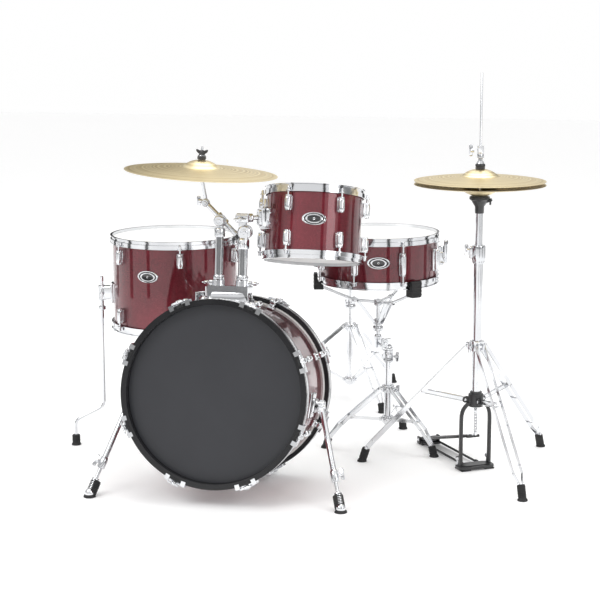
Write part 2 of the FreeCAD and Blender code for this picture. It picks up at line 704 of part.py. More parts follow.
def stand_core(base, radius, top, collar_height, hub_height, bore, angles, wing_turn):
    """Upright tube with a top clamp, the leg collar and the brace hub."""
    foot = base + UP * (hub_height - 16)
    tube = [bar(radius, foot, base + UP * top), bar(radius + 4, base + UP * (top - 34), base + UP * top),
            bar(radius + 7, base + UP * (collar_height - 9), base + UP * (collar_height + 9)),
            bar(radius + 6, base + UP * (hub_height - 10), base + UP * (hub_height + 8))]
    for angle in angles:
        out = around(angle, 1)
        turn = Rotation(UP, angle)
        for height in (collar_height, hub_height):
            tube.append(block(16, 8, 13, base + out * (radius + 6) + UP * height, turn))
    grip = base + around(wing_turn, radius + 3) + UP * (top - 17)
    tube += wing_screw(grip, around(wing_turn, 1), UP, 12, 11)
    tube += wing_screw(base + around(wing_turn + 8, radius + 6) + UP * collar_height,
                       around(wing_turn + 8, 1), UP, 10, 10)
    hole = bar(bore, base + UP * (hub_height + 30), base + UP * (top + 5))
    return cut(fuse(*tube), hole)


def snare_stand():
    base = at(s.standX, s.standY, 0)
    angles = [84, 204, 324]
    top = 282
    core = stand_core(base, float(s.standTubeRadius), top, float(s.standCollar), float(s.standHub),
                      s.standPostRadius + s.runningFit, angles, -20)
    rails, feet = tripod(base, angles, float(s.standCollar), float(s.standHub), s.standFootReach,
                         float(s.standTubeRadius), 20, 0.42)
    keep("snare_stand_base", group(core, *rails), Placement())
    axis = at(s.snareX, s.snareY, 0)
    sideways = (axis - base).normalize()
    joint = axis + (base - axis) * 0.5 + UP * float(s.standJoint)
    hinge = sideways.cross(UP).normalize()
    block_turn = Rotation(sideways, Vector(), UP, "ZXY")
    level = UP * float(s.standJoint)
    post = fuse(bar(s.standPostRadius, base + UP * 125, base + UP * 292),
                block(20, 18, 10, base + level - UP * 14, block_turn),
                block(28, 9, 24, base + level + sideways * 4 + hinge * 4.8 - UP * 2, block_turn),
                drum_of(10, 11, joint + hinge * 0.3, hinge))
    keep("snare_stand_post", post, Placement())
    hub = axis + UP * float(s.basketHub)
    low = axis + level
    stem = [bar(6.5, low + UP * 13, hub), block(18, 18, 10, low + UP * 16, block_turn),
            block(28, 9, 24, low - sideways * 4 - hinge * 4.8 + UP * 2, block_turn),
            drum_of(10, 11, joint - hinge * 0.3, -hinge),
            bar(12, hub - UP * 10, hub + UP * 5), bar(10, hub - UP * 72, hub - UP * 52),
            bar(14, hub - UP * 84, hub - UP * 72)]
    stem += wing_screw(low - hinge * 8, -hinge, UP, 14, 12)
    grip_angles = [-90 - 76, -90 + 44, -90 + 156]
    hoop_low = float(s.snareTop - s.snareDepth - s.hoopRise)
    grips = []
    arms = []
    for angle in grip_angles:
        out = around(angle, 1)
        side = around(angle + 90, 1)
        elbow = hub + out * 70 + UP * 6
        tip = axis + out * (float(s.snareRadius) + 7) + UP * (hoop_low - 12)
        arm = fuse(bar(4.6, hub + out * 12.1, elbow), ball(4.7, elbow), bar(4.6, elbow, tip))
        arms.append(cut(arm, basket_grip(axis, angle, hoop_low, 0.1)))
        for sign in (-1, 1):
            start = hub - UP * 62 + out * 11 + side * (7 * sign)
            arms.append(strip(8, 2.2, start, start + out * 47 + UP * 64, side))
        grips.append(basket_grip(axis, angle, hoop_low))
    keep("snare_basket", group(fuse(*stem), *arms), Placement())
    keep("snare_basket_grips", group(*grips), Placement())
    return feet, joint, hinge


def basket_grip(axis, angle, hoop_low, growth=0.0):
    """Rubber L-shaped claw that holds the snare drum's lower hoop."""
    out = around(angle, 1)
    turn = Rotation(UP, angle)
    reach = float(s.snareRadius)
    low = axis + out * (reach + 7) + UP * (hoop_low - 10.4)
    tall = axis + out * (reach + 15.4) + UP * (hoop_low + 1.6)
    return fuse(block(26 + growth, 34 + growth, 20 + growth, low, turn),
                block(10 + growth, 34 + growth, 44 + growth, tall, turn))


def snare():
    place = place_from(s.snareX, s.snareY, s.snareTop - s.snareDepth / 2)
    count = s.snareLugCount.value
    angles = [-90 + 8.9 + (number + 0.5) * 360 / count for number in range(int(count))]
    metal_drum("snare", s.snareRadius, s.snareDepth, angles, s.snareLugLength, True, place)
    turn = -90 + 8.9 + 90
    frame = Rotation(UP, turn)
    space = drum_of(s.snareRadius + s.runningFit, s.snareDepth + 20, at(0, 0, -s.snareDepth / 2 - 10))
    low = -float(s.snareDepth) / 2
    throw = [block(14, 26, 52, around(turn, s.snareRadius + 4, 2), frame),
             block(16, 20, 30, around(turn, s.snareRadius + 13, -2), frame),
             block(12, 30, 9, around(turn, s.snareRadius + 12, -18), frame),
             bar(6.5, around(turn, s.snareRadius + 15, 12), around(turn, s.snareRadius + 15, 26))]
    butt_turn = turn + 180
    butt = [block(14, 28, 34, around(butt_turn, s.snareRadius + 4, -8), Rotation(UP, butt_turn)),
            block(12, 34, 9, around(butt_turn, s.snareRadius + 12, -18), Rotation(UP, butt_turn))]
    wires = block(2 * float(s.snareRadius) - 70, 40, 1.6, at(0, 0, low - 1.9), frame)
    keep("snare_strainer", group(cut(fuse(*throw), space), cut(fuse(*butt), space), wires), place)
    pivot = around(turn, s.snareRadius + 25.3, -6)
    side = frame.multVec(ALONG_Y)
    lever = [bar(4, pivot - side * 11, pivot + side * 11),
             strip(16, 4, pivot, pivot + UP * 40 + frame.multVec(ALONG_X) * 2, frame.multVec(ALONG_X))]
    keep("snare_strainer_lever", fuse(*lever), place)
    return place.multVec(pivot), side


def throne():
    base = at(s.throneX, s.throneY, 0)
    angles = [-56, 64, 184]
    core = stand_core(base, float(s.throneTubeRadius), 330, float(s.throneCollar), float(s.throneHub),
                      s.thronePostRadius + s.runningFit, angles, -110)
    rails, feet = tripod(base, angles, float(s.throneCollar), float(s.throneHub), s.throneFootReach,
                         float(s.throneTubeRadius), 26, 0.45)
    keep("throne_base", group(core, *rails), Placement())
    under = float(s.throneSeatBottom)
    top = base + UP * under
    keep("throne_seat_post", bar(s.thronePostRadius, base + UP * 150, top - UP * 12), Placement())
    plate = [block(150, 150, 4, top - UP * 2.05), bar(17, top - UP * 30, top - UP * 4)]
    sleeve = cut(fuse(*plate), bar(s.thronePostRadius + s.runningFit, base + UP * 300, top - UP * 11.5))
    keep("throne_seat_bracket", sleeve, Placement())
    low, high, radius = s.throneSeatBottom, s.throneSeatTop, s.throneSeatRadius
    pad = turned([(0, low), (radius - 12, low), (radius, low + 14), (radius, high - 26),
                  (radius - 24, high - 4), (0, high)], {2: -400, 3: -34})
    keep("throne_seat", pad, place_from(s.throneX, s.throneY, 0))
    return feet, base


# ---------------------------------------------------------------- hi-hat

def hi_hat():
    base = at(s.hatX, s.hatY, 0)
    pedal = around(s.hatPedalTurn, 1)
    across = around(s.hatPedalTurn + 90, 1)
    square = Rotation(UP, float(s.hatPedalTurn))
    place = Placement(base, Rotation())
    inner = s.hatTubeRadius - s.hatTubeWall
    sleeve = [bar(s.hatTubeRadius + 4.5, at(0, 0, 581), at(0, 0, 626))]
    sleeve += wing_screw(at(-15, 0, 612), -ALONG_X, UP, 12, 13)
    lower = fuse(bar(s.hatTubeRadius, at(0, 0, float(s.hatHub) - 4), at(0, 0, 600)), *sleeve)
    keep("hihat_tube", cut(lower, bar(inner, at(0, 0, 150), at(0, 0, 585)),
                           bar(s.hatUpperRadius + s.runningFit, at(0, 0, 580), at(0, 0, 640))), place)
    hat_frame(place, pedal, across, square)
    turns = [float(s.hatLegTurn) + 120 * number for number in range(3)]
    collar = [bar(s.hatTubeRadius + 7, at(0, 0, 336), at(0, 0, 362))]
    for turn in turns:
        for sign in (-1, 1):
            ear = around(turn, 23, s.hatCollar) + around(turn + 90, 7.5 * sign)
            collar.append(block(18, 3, 16, ear, Rotation(UP, turn)))
    collar += wing_screw(around(240, 18, 349), around(240, 1), UP, 12, 12)
    pins = [pin_way(turn, 23, s.hatCollar) for turn in turns]
    bore = bar(s.hatTubeRadius + s.runningFit, at(0, 0, 300), at(0, 0, 400))
    keep("hihat_collar", cut(fuse(*collar), bore, *pins), place)
    for name, turn in zip(("front", "rear", "side"), turns):
        hat_leg(name, Placement(base, Rotation(UP, turn)))
    hat_top(place)
    hat_footboard(place, pedal, across)
    return base, pedal, across, turns


def pin_way(turn, reach, height):
    """Hole across a pair of ears for a leg's or brace's pin."""
    middle = around(turn, reach, height)
    side = around(turn + 90, 20)
    return bar(3.2 + s.runningFit, middle - side, middle + side)


def hat_frame(place, pedal, across, square):
    """Black hub with brace ears, arched frame, base plate, heel rods and spurs."""
    hub_low, hub_high = 178, 214
    hub = stack((20, hub_low, hub_high), (16, hub_high, hub_high + 6))
    turns = [float(s.hatLegTurn) + 120 * number for number in range(3)]
    for turn in turns:
        for sign in (-1, 1):
            ear = around(turn, 26, s.hatHub) + around(turn + 90, 5.2 * sign)
            hub.append(block(16, 3, 16, ear, Rotation(UP, turn)))
    frame = []
    half_width = 43
    for sign in (-1, 1):
        shoulder = across * (half_width * sign)
        frame.append(strip(12, 8, shoulder + UP * 8, shoulder + UP * 176, across))
        frame.append(strip(12, 8, shoulder * 1.04 + UP * 172, shoulder * 0.4 + UP * 196, across))
    frame.append(block(12, 44, 12, at(0, 0, 192), square))
    plate = block(46, 104, 7, at(0, 0, 8), square)
    toe_plate = block(10, 60, 4, pedal * 26 + UP * 13, square)
    rods = []
    heel = pedal * float(s.hatPedalLength + 18)
    for sign in (-1, 1):
        shift = across * (24 * sign)
        rods.append(bar(3.2, shift + UP * 8, heel - pedal * 12 + shift + UP * 8))
    heel_plate = block(40, 62, 5, heel + UP * 5, square)
    spurs = []
    for sign in (-1, 1):
        spot = across * (46 * sign) + pedal * 12
        spurs += [bar(4, spot + UP * 0.8, spot + UP * 34), bar(6.5, spot + UP * 28, spot + UP * 35)]
    pads = [block(46, 30, 4.6, across * (36 * sign) + UP * 2.3, square) for sign in (-1, 1)]
    pads.append(block(40, 62, 2.6, heel + UP * 1.3, square))
    body = fuse(*hub, *frame, plate, toe_plate, *rods, heel_plate, *spurs, *pads)
    ears = [block(16, 4, 22, heel + across * (31 * sign) + UP * 12, square) for sign in (-1, 1)]
    pin_hole = bar(3.05, heel - across * 50 + UP * 15, heel + across * 50 + UP * 15)
    bore = bar(s.hatRodRadius + 2.2, at(0, 0, 150), at(0, 0, 240))
    socket = bar(s.hatTubeRadius + s.runningFit, at(0, 0, float(s.hatHub) - 4.05), at(0, 0, 230))
    pins = [pin_way(turn, 27.5, s.hatHub) for turn in turns]
    keep("hihat_frame", cut(fuse(body, *ears), bore, socket, pin_hole, *pins), place)


def hat_leg(name, place):
    """One folding leg: two rails from the collar to the foot, and the brace between them."""
    hip = at(23, 0, s.hatCollar)
    foot_top = at(float(s.hatFootReach) - 12, 0, 38)
    knee = at(s.hatBraceReach, 0, 0)
    along = (foot_top - hip)
    knee.z = hip.z + along.z * (knee.x - hip.x) / along.x
    rails = []
    for sign in (-1, 1):
        shift = at(0, 12.5 * sign, 0)
        join = foot_top - at(22, 0, -26)
        rails.append(strip(12, 2.6, hip + shift, join + shift, ALONG_Y))
        rails.append(strip(12, 2.6, join + shift, foot_top + shift * 0.3, ALONG_Y))
    pin = bar(3.2, hip - at(0, 14, 0), hip + at(0, 14, 0))
    shoe_turn = (foot_top - at(s.hatFootReach, 0, 0)).normalize()
    foot = at(s.hatFootReach, 0, 0)
    shoe = fuse(bar(9, foot, foot + shoe_turn * float(s.hatFoot)), bar(10.5, foot, foot + shoe_turn * 14))
    rubber = cut(shoe, block(80, 80, 30, foot - UP * 15))
    spacer = bar(4, foot_top - at(0, 10, 0) + at(-2, 0, 3), foot_top + at(-2, 10, 3))
    keep(f"hihat_leg_{name}", fuse(*rails, pin, rubber, spacer), place)
    hub = at(27.5, 0, s.hatHub)
    brace = [strip(12, 4.6, hub, knee, ALONG_Y)]
    for end, half in ((hub, 8), (knee, 10.8)):
        brace.append(bar(3.2, end - ALONG_Y * half, end + ALONG_Y * half))
        brace.append(bar(6, end - ALONG_Y * 2.3, end + ALONG_Y * 2.3))
    keep(f"hihat_brace_{name}", fuse(*brace), place)


def hat_top(place):
    """Upper tube, cup, both cymbals, pull rod and clutch."""
    top_edge = float(s.hatTopHeight)
    low_edge = top_edge - float(s.hatGap)
    low_bell = low_edge - float(s.hatBow + s.hatBell)
    tube_top = low_bell - 20
    tube = cut(bar(s.hatUpperRadius, at(0, 0, 470), at(0, 0, tube_top)),
               bar(s.hatUpperRadius - 1.5, at(0, 0, 460), at(0, 0, tube_top + 5)))
    keep("hihat_upper_tube", tube, place)
    cup = [cone(11, 27, 20, at(0, 0, low_bell - 27)),
           *stack((27, -7, -1.6), (11.5, -46, -26), (5.4, -2, 6), base=low_bell)]
    screw = [bar(2.6, at(10, 0, low_bell - 19), at(26, 0, low_bell - 12)),
             bar(4.4, at(24, 0, low_bell - 12.8), at(33, 0, low_bell - 9))]
    rod_way = bar(s.hatRodRadius + 1.2, at(0, 0, low_bell - 60), at(0, 0, low_bell + 10))
    tube_way = bar(s.hatUpperRadius + s.runningFit, at(0, 0, low_bell - 60), at(0, 0, tube_top + 0.05))
    keep("hihat_seat", cut(fuse(*cup, *screw), rod_way, tube_way), place)
    low_cymbal = Placement(place.Base + at(0, 0, low_edge), Rotation(ALONG_X, 180))
    keep("hihat_bottom_cymbal", cymbal(s.hatRadius, s.hatBow, s.hatBell, s.hatBellRadius), low_cymbal)
    chain = [*stack((s.hatRodRadius, 166, float(s.hatRodTop)), (5, 160, 172)),
             block(7, 5, 50, at(0, 0, 137)), block(10, 8, 16, at(0, 0, 108))]
    keep("hihat_rod", fuse(*chain), place)
    crown = top_edge + float(s.hatBow + s.hatBell)
    way = bar(s.hatRodRadius + s.runningFit, at(0, 0, crown - 40), at(0, 0, crown + 90))
    clutch = stack((5.8, -12, 62), (8.5, 30, 60), (9, -12, -6.4), (11, -6, -1.4), (12.5, 0.1, 6.4),
                   (13, 6.6, 14), (9, 14, 22), base=crown)
    clutch += wing_screw(at(-8, 0, crown + 50), -ALONG_X, UP, 14, 12)
    keep("hihat_clutch", cut(fuse(*clutch), way), place)
    keep("hihat_top_cymbal", cymbal(s.hatRadius, s.hatBow, s.hatBell, s.hatBellRadius),
         Placement(place.Base + at(0, 0, top_edge), Rotation()))


def hat_footboard(place, pedal, across):
    """Tapered board from the heel pin up to the chain."""
    heel = pedal * float(s.hatPedalLength + 18) + UP * 15
    toe = pedal * 4 + UP * 92
    lean = (toe - heel).normalize()
    face = Rotation(lean, Vector(), across, "ZXY")
    board = [block((toe - heel).Length - 20, 6, 66, (heel + toe) * 0.5, face)]
    hinge = [bar(3, heel - across * 35, heel + across * 35),
             bar(6.5, heel - across * 28, heel + across * 28), block(24, 8, 50, heel + lean * 12, face)]
    tip = [block(26, 8, 30, toe - lean * 10, face)]
    keep("hihat_footboard", fuse(*board, *hinge, *tip), place)


# ---------------------------------------------------------------- spurs and kick pedal

def spurs():
    pivots = []
    brackets = []
    shell_space = drum_of(s.bassRadius + s.runningFit, s.bassDepth, at(0, 0, -s.bassDepth / 2))
    for side, name in ((1, "right"), (-1, "left")):
        angle = float(s.spurPivotAngle) if side > 0 else 180 - float(s.spurPivotAngle)
        turn = Rotation(UP, angle)
        out = turn.multVec(ALONG_X)
        seat = around(angle, s.bassRadius, 38)
        pad = fuse(block(16, 62, 44, seat + out * 2, turn), block(20, 34, 34, seat + out * 8, turn),
                   drum_of(15, 6, seat + out * 17.7, out))
        brackets.append(cut(pad, shell_space))
        pivot = in_bass(*(around(angle, s.spurPivotReach, 38)))
        axis = bass_turn.multVec(out)
        foot = at(side * s.spurX, s.spurY, 0)
        aim = (foot + UP * 8 - pivot).normalize()
        length = (foot + UP * 8 - pivot).Length
        joint = pivot - axis * 8
        leg = [drum_of(15, 13, joint, axis), bar(s.spurTubeRadius, pivot, pivot + aim * (length * 0.72)),
               bar(s.spurTubeRadius + 1.5, pivot + aim * (length * 0.66), pivot + aim * (length * 0.72)),
               bar(s.spurRodRadius, pivot + aim * (length * 0.7), pivot + aim * (length - 30)),
               bar(10, pivot + aim * (length - 38), pivot + aim * (length - 36)),
               bar(9.5, pivot + aim * (length - 35), pivot + aim * length), ball(12.5, foot + UP * 11)]
        leg += wing_screw(pivot + aim * (length * 0.69), at(side, 0.25, 0.45), aim, 17, 11)
        keep(f"spur_{name}", cut(fuse(*leg), block(80, 80, 40, foot - UP * 20)), Placement())
        pivots.append((pivot, axis))
    return pivots, brackets


def kick_pedal():
    """Pedal at the rear hoop: frame, footboard with its chain, and the beater on its axle."""
    front = float(s.kickY)
    heel_y = front + float(s.kickLength)
    width = float(s.kickWidth)
    long = heel_y - front + 50
    axle = at(0, front + 8, s.kickAxle)
    heel = at(0, heel_y, 18)
    toe = at(0, axle.y - 24, 88)
    frame = [block(width + 20, long, 4, at(0, front - 10 + long / 2, 2)),
             block(width - 8, 48, 10, at(0, front - 24, 24)),
             block(width - 20, 20, 28, at(0, front - 4, 15))]
    for side in (-40, 40):
        frame.append(block(10, 26, axle.z + 10, at(side, axle.y, (axle.z + 14) / 2)))
        frame.append(block(8, 24, 26, at(side * 0.9, heel_y, 15)))
    ways = [bar(5 + s.runningFit, axle - ALONG_X * 60, axle + ALONG_X * 60),
            bar(3 + s.runningFit, heel - ALONG_X * 60, heel + ALONG_X * 60)]
    keep("kick_frame", cut(fuse(*frame), *ways), Placement())
    lean = (toe - heel).normalize()
    face = Rotation(lean, Vector(), ALONG_X, "ZXY")
    board = [block((toe - heel).Length, 5, 62, (heel + toe) * 0.5, face),
             bar(3, heel - ALONG_X * 39, heel + ALONG_X * 39),
             bar(6.5, heel - ALONG_X * 29, heel + ALONG_X * 29),
             block(8, 3, 60, toe + at(0, 0, 32)), block(24, 16, 8, toe + at(0, 5, 3))]
    keep("kick_footboard", fuse(*board), Placement())
    back = math.radians(38)
    swing = at(0, math.sin(back), math.cos(back))
    knob = axle + swing * 150
    strike = swing.cross(ALONG_X)
    beater = [bar(5, axle - ALONG_X * 45, axle + ALONG_X * 45),
              drum_of(22, 10, axle - ALONG_X * 5, ALONG_X),
              bar(9, axle - ALONG_X * 14, axle + ALONG_X * 14), bar(3.2, axle - swing * 30, knob),
              drum_of(22, 34, knob - strike * 17, strike)]
    keep("kick_beater", fuse(*beater), Placement())
    return heel, axle


# ---------------------------------------------------------------- assembly

bass_drum()
spur_pivots, spur_brackets = spurs()
keep("bass_brackets", group(bass_mount(), *spur_brackets), bass_place)
tom_joint = tom_mount()
tom_grip, tom_outward = tom()
boom_joint, boom_centre, boom_aim, tilter_joint, crash_pivot = crash()
floor_feet = floor_tom()
snare_feet, basket_joint, basket_axis = snare_stand()
lever_pivot, lever_axis = snare()
hat_base, hat_pedal, hat_across, hat_turns = hi_hat()
throne_feet, throne_base = throne()
kick_heel, kick_axle = kick_pedal()
keep("rubber_feet", group(*floor_feet, *snare_feet, *throne_feet), Placement())
doc.recompute()

# move the kit so that the origin is on the floor under the middle of its box
box = FreeCAD.BoundBox()
for piece in parts.values():
    box.add(piece.Shape.optimalBoundingBox(False, False))
shift = Vector(-box.Center.x, -box.Center.y, -box.ZMin)
for piece in parts.values():
    piece.Placement = Placement(shift, Rotation()).multiply(piece.Placement)
doc.recompute()

for thing in doc.Objects:
    if "Invalid" in thing.State or "Error" in thing.State:
        raise RuntimeError(f"{thing.Name} ({thing.Label}) did not build: {thing.State}")
for node, piece in parts.items():
    if piece.Shape.isNull() or not piece.Shape.isValid() or not piece.Shape.Solids:
        raise RuntimeError(f"{node} has no sound shape")

os.makedirs("parts", exist_ok=True)
for node, piece in parts.items():
    piece.Shape.exportStep(f"parts/{node}.step")
print(len(parts), "parts", [round(value) for value in (box.XLength, box.YLength, box.ZLength)])
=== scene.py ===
import json
import math
import bmesh
import bpy
from mathutils import Matrix, Vector


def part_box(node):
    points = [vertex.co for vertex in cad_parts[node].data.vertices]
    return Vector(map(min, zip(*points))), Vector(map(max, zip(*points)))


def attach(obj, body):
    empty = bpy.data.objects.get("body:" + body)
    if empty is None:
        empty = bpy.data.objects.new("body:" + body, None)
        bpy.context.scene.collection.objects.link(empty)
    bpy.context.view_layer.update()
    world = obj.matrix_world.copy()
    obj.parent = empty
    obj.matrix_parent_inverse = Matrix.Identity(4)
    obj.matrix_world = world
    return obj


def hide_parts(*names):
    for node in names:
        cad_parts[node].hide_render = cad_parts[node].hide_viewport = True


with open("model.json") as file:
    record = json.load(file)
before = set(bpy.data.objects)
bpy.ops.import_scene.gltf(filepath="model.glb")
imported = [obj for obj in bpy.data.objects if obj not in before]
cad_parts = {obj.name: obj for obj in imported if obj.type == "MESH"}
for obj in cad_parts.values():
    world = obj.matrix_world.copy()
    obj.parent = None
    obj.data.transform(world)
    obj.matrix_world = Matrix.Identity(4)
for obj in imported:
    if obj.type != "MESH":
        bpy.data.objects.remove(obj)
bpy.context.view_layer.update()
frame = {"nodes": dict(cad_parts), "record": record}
nodes = frame["nodes"]

mm = 0.001
up = Vector((0, 0, 1))
alongX = Vector((1, 0, 0))
alongY = Vector((0, 1, 0))


def middle(node):
    low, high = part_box(node)
    return (low + high) / 2


rodMiddle = middle("hihat_rod")
kitShift = Vector((rodMiddle.x - 0.6262, rodMiddle.y - 0.3016, 0))


def kit(x, y, z=0):
    # Layout point in millimetres to the frame in metres
    return Vector((x, y, z)) * mm + kitShift


def polar(angle, reach, height=0):
    turn = math.radians(angle)
    return Vector((reach * math.cos(turn), reach * math.sin(turn), height)) * mm


def aim(point, direction, sideways=alongX):
    # Matrix whose Z runs along a direction and whose X lies near sideways
    z = Vector(direction).normalized()
    y = z.cross(Vector(sideways))
    if y.length < 1e-5:
        y = z.cross(alongY)
    y.normalize()
    x = y.cross(z)
    turn = Matrix((x, y, z)).transposed()
    return Matrix.Translation(point) @ turn.to_4x4()


# shader maths

class Wire:
    # One output socket; sums and products of wires add Math nodes

    def __init__(self, paint, socket):
        self.paint = paint
        self.socket = socket

    def math(self, operation, *values):
        return self.paint.node("ShaderNodeMath", dict(enumerate(values)), operation=operation)

    def __add__(self, other):
        return self.math("ADD", self, other)

    def __radd__(self, other):
        return self.math("ADD", other, self)

    def __sub__(self, other):
        return self.math("SUBTRACT", self, other)

    def __rsub__(self, other):
        return self.math("SUBTRACT", other, self)

    def __mul__(self, other):
        return self.math("MULTIPLY", self, other)

    def __rmul__(self, other):
        return self.math("MULTIPLY", other, self)

    def __truediv__(self, other):
        return self.math("DIVIDE", self, other)

    def __pow__(self, other):
        return self.math("POWER", self, other)

    def __lt__(self, other):
        return self.math("LESS_THAN", self, other)

    def __gt__(self, other):
        return self.math("GREATER_THAN", self, other)

    def wave(self):
        return self.math("SINE", self)

    def size(self):
        return self.math("ABSOLUTE", self)


class Paint:
    # A material and the few ways its nodes are made

    def __init__(self, name):
        self.material = bpy.data.materials.new(name)
        self.material.use_nodes = True
        self.tree = self.material.node_tree
        self.tree.nodes.clear()
        self.place = self.node("ShaderNodeTexCoord", {}, out="Object")

    def node(self, kind, inputs, out=0, stops=None, **settings):
        made = self.tree.nodes.new(kind)
        for name, value in settings.items():
            setattr(made, name, value)
        if stops:
            ramp = made.color_ramp.elements
            while len(ramp) < len(stops):
                ramp.new(0.5)
            for element, (position, colour) in zip(ramp, stops):
                element.position = position
                element.color = (*colour, 1) if len(colour) == 3 else colour
        for name, value in inputs.items():
            if isinstance(value, Wire):
                self.tree.links.new(value.socket, made.inputs[name])
            else:
                made.inputs[name].default_value = value
        return Wire(self, made.outputs[out]) if made.outputs else None

    def mix(self, share, first, second):
        return self.node("ShaderNodeMix", {0: share, 6: self.full(first), 7: self.full(second)},
                         out=2, data_type="RGBA")

    def full(self, colour):
        return colour if isinstance(colour, Wire) else (*colour[:3], 1)

    def noise(self, scale, detail=3.0, where=None, roughness=0.5):
        return self.node("ShaderNodeTexNoise", {"Vector": where or self.place, "Scale": scale,
                                                "Detail": detail,
                                                "Roughness": roughness})

    def spots(self, scale, where=None, out="Distance", feature="F1"):
        return self.node("ShaderNodeTexVoronoi", {"Vector": where or self.place, "Scale": scale}, out=out,
                         feature=feature)

    def ramp(self, value, *stops):
        return self.node("ShaderNodeValToRGB", {"Fac": value}, stops=stops)

    def turned(self, centre, angles=(0, 0, 0)):
        # Coordinates about a point and turned, in metres
        return self.node("ShaderNodeMapping", {"Vector": self.place, "Location": centre, "Rotation": angles},
                         vector_type="TEXTURE")

    def axis(self, vector, letter):
        return self.node("ShaderNodeSeparateXYZ", {"Vector": vector}, out="XYZ".index(letter))

    def reach(self, vector):
        x, y = self.axis(vector, "X"), self.axis(vector, "Y")
        return (x * x + y * y) ** 0.5

    def bump(self, height, distance, strength=1.0, normal=None):
        inputs = {"Height": height, "Distance": distance, "Strength": strength}
        if normal:
            inputs["Normal"] = normal
        return self.node("ShaderNodeBump", inputs)

    def finish(self, **values):
        inputs = {name.replace("_", " "): self.full(value) if name in ("Base_Color", "Sheen_Tint") else value
                  for name, value in values.items()}
        shader = self.node("ShaderNodeBsdfPrincipled", inputs)
        self.node("ShaderNodeOutputMaterial", {"Surface": shader})
        return self.material


# finishes

chromeLook = {"bright": (0.83, 0.84, 0.86), "dull": (0.66, 0.67, 0.69), "roughness": 0.07}


def chromeFinish(name, look=chromeLook):
    p = Paint(name)
    cloud = p.noise(9, 4)
    smudge = p.noise(160, 2)
    colour = p.mix(p.ramp(cloud, (0.42, (0, 0, 0)), (0.62, (1, 1, 1))), look["dull"], look["bright"])
    return p.finish(Base_Color=colour, Metallic=1.0,
                    Roughness=look["roughness"] + smudge * 0.05 + cloud * 0.03,
                    Normal=p.bump(p.noise(60, 2), 0.0002, 0.12))


# Wrap colours: deep and wine are the wrap's own tone; the third is a painted glint colour for a few flakes
wrapLook = {"deep": (0.060, 0.003, 0.008), "wine": (0.155, 0.008, 0.020), "paintedGlint": (0.42, 0.05, 0.07)}


def wineWrap():
    p = Paint("wineWrap")
    flake = p.spots(1500, out="Color")
    flakeGlint = p.axis(flake, "X")
    cloud = p.noise(5, 2)
    body = p.mix(p.ramp(cloud, (0.35, (0, 0, 0)), (0.7, (1, 1, 1))), wrapLook["deep"], wrapLook["wine"])
    # Flakes are real; the few brightened in the base colour are painted glints
    body = p.mix(flakeGlint ** 6.0, body, wrapLook["paintedGlint"])
    return p.finish(Base_Color=body, Metallic=0.72, Roughness=0.30 + flakeGlint * 0.16, Coat_Weight=1.0,
                    Coat_Roughness=0.03, Coat_IOR=1.55,
                    Normal=p.bump(flakeGlint, 0.00005, 0.2, p.bump(p.noise(14, 1), 0.0006, 0.10)))


def filmFinish(name, dark, light, speckle, roughness, gloss=0.0):
    # Drum film: faint cloudiness and a fine sprayed tooth
    p = Paint(name)
    tooth = p.noise(1400, 2)
    cloud = p.noise(6, 4)
    colour = p.mix(cloud, dark, light)
    return p.finish(Base_Color=colour, Roughness=roughness + tooth * 0.12, Coat_Weight=gloss,
                    Coat_Roughness=0.12,
                    Normal=p.bump(tooth, 0.00008, speckle))


def lacquer():
    p = Paint("blackLacquer")
    cloud = p.noise(30, 3)
    return p.finish(Base_Color=p.mix(cloud, (0.006, 0.006, 0.007), (0.014, 0.014, 0.016)),
                    Roughness=0.18 + cloud * 0.1, Specular_IOR_Level=0.3, Coat_Weight=0.3,
                    Coat_Roughness=0.05, Normal=p.bump(p.noise(90, 2), 0.0003, 0.08))


cymbalLook = {"gold": (0.64, 0.50, 0.25), "straw": (0.86, 0.76, 0.50), "brown": (0.30, 0.21, 0.09)}


def cymbalBronze(name, radius, bellRadius):
    # Lathe lines and hammer marks about the cymbal's own axis
    p = Paint(name)
    reach = p.reach(p.place) / (radius * mm)
    wobble = p.noise(25, 2) * 0.004
    fine = ((reach + wobble) * 900).wave()
    broad = ((reach + wobble) * 130).wave()
    band = p.node("ShaderNodeTexNoise", {"W": reach * 14, "Detail": 3.0, "Scale": 2.0}, noise_dimensions="1D")
    dents = p.spots(75, feature="SMOOTH_F1")
    colour = p.mix(p.ramp(band, (0.35, (0, 0, 0)), (0.65, (1, 1, 1))), cymbalLook["gold"],
                   cymbalLook["straw"])
    colour = p.mix((broad * 0.5 + 0.5) * 0.34, colour, cymbalLook["brown"])
    onBell = reach < (bellRadius / radius)
    colour = p.mix(onBell * 0.25, colour, cymbalLook["straw"])
    grooves = p.bump(fine * 0.5 + broad * 0.5, 0.00012, 0.45)
    return p.finish(Base_Color=colour, Metallic=1.0, Roughness=0.27 + band * 0.12 + p.noise(40, 3) * 0.06,
                    Normal=p.bump(dents, 0.0012, 0.16, grooves))


def felt():
    p = Paint("darkFelt")
    fibre = p.noise(900, 5, roughness=0.7)
    return p.finish(Base_Color=p.mix(fibre, (0.012, 0.012, 0.013), (0.07, 0.07, 0.075)), Roughness=0.95,
                    Sheen_Weight=0.6, Sheen_Roughness=0.5, Normal=p.bump(fibre, 0.0009, 0.8))


def rubber():
    p = Paint("blackRubber")
    grain = p.noise(420, 4)
    dust = p.noise(18, 3)
    return p.finish(Base_Color=p.mix(p.ramp(dust, (0.5, (0, 0, 0)), (0.8, (1, 1, 1))), (0.012, 0.012, 0.013),
                                     (0.035, 0.034, 0.033)),
                    Roughness=0.55 + grain * 0.2, Normal=p.bump(grain, 0.0004, 0.3))


def blackPaint(name="blackPaint"):
    p = Paint(name)
    orange = p.noise(260, 2)
    wear = p.noise(70, 4)
    return p.finish(Base_Color=p.mix(wear, (0.010, 0.010, 0.011), (0.028, 0.028, 0.03)),
                    Roughness=0.3 + wear * 0.15,
                    Coat_Weight=0.3, Coat_Roughness=0.2, Normal=p.bump(orange, 0.0004, 0.15))


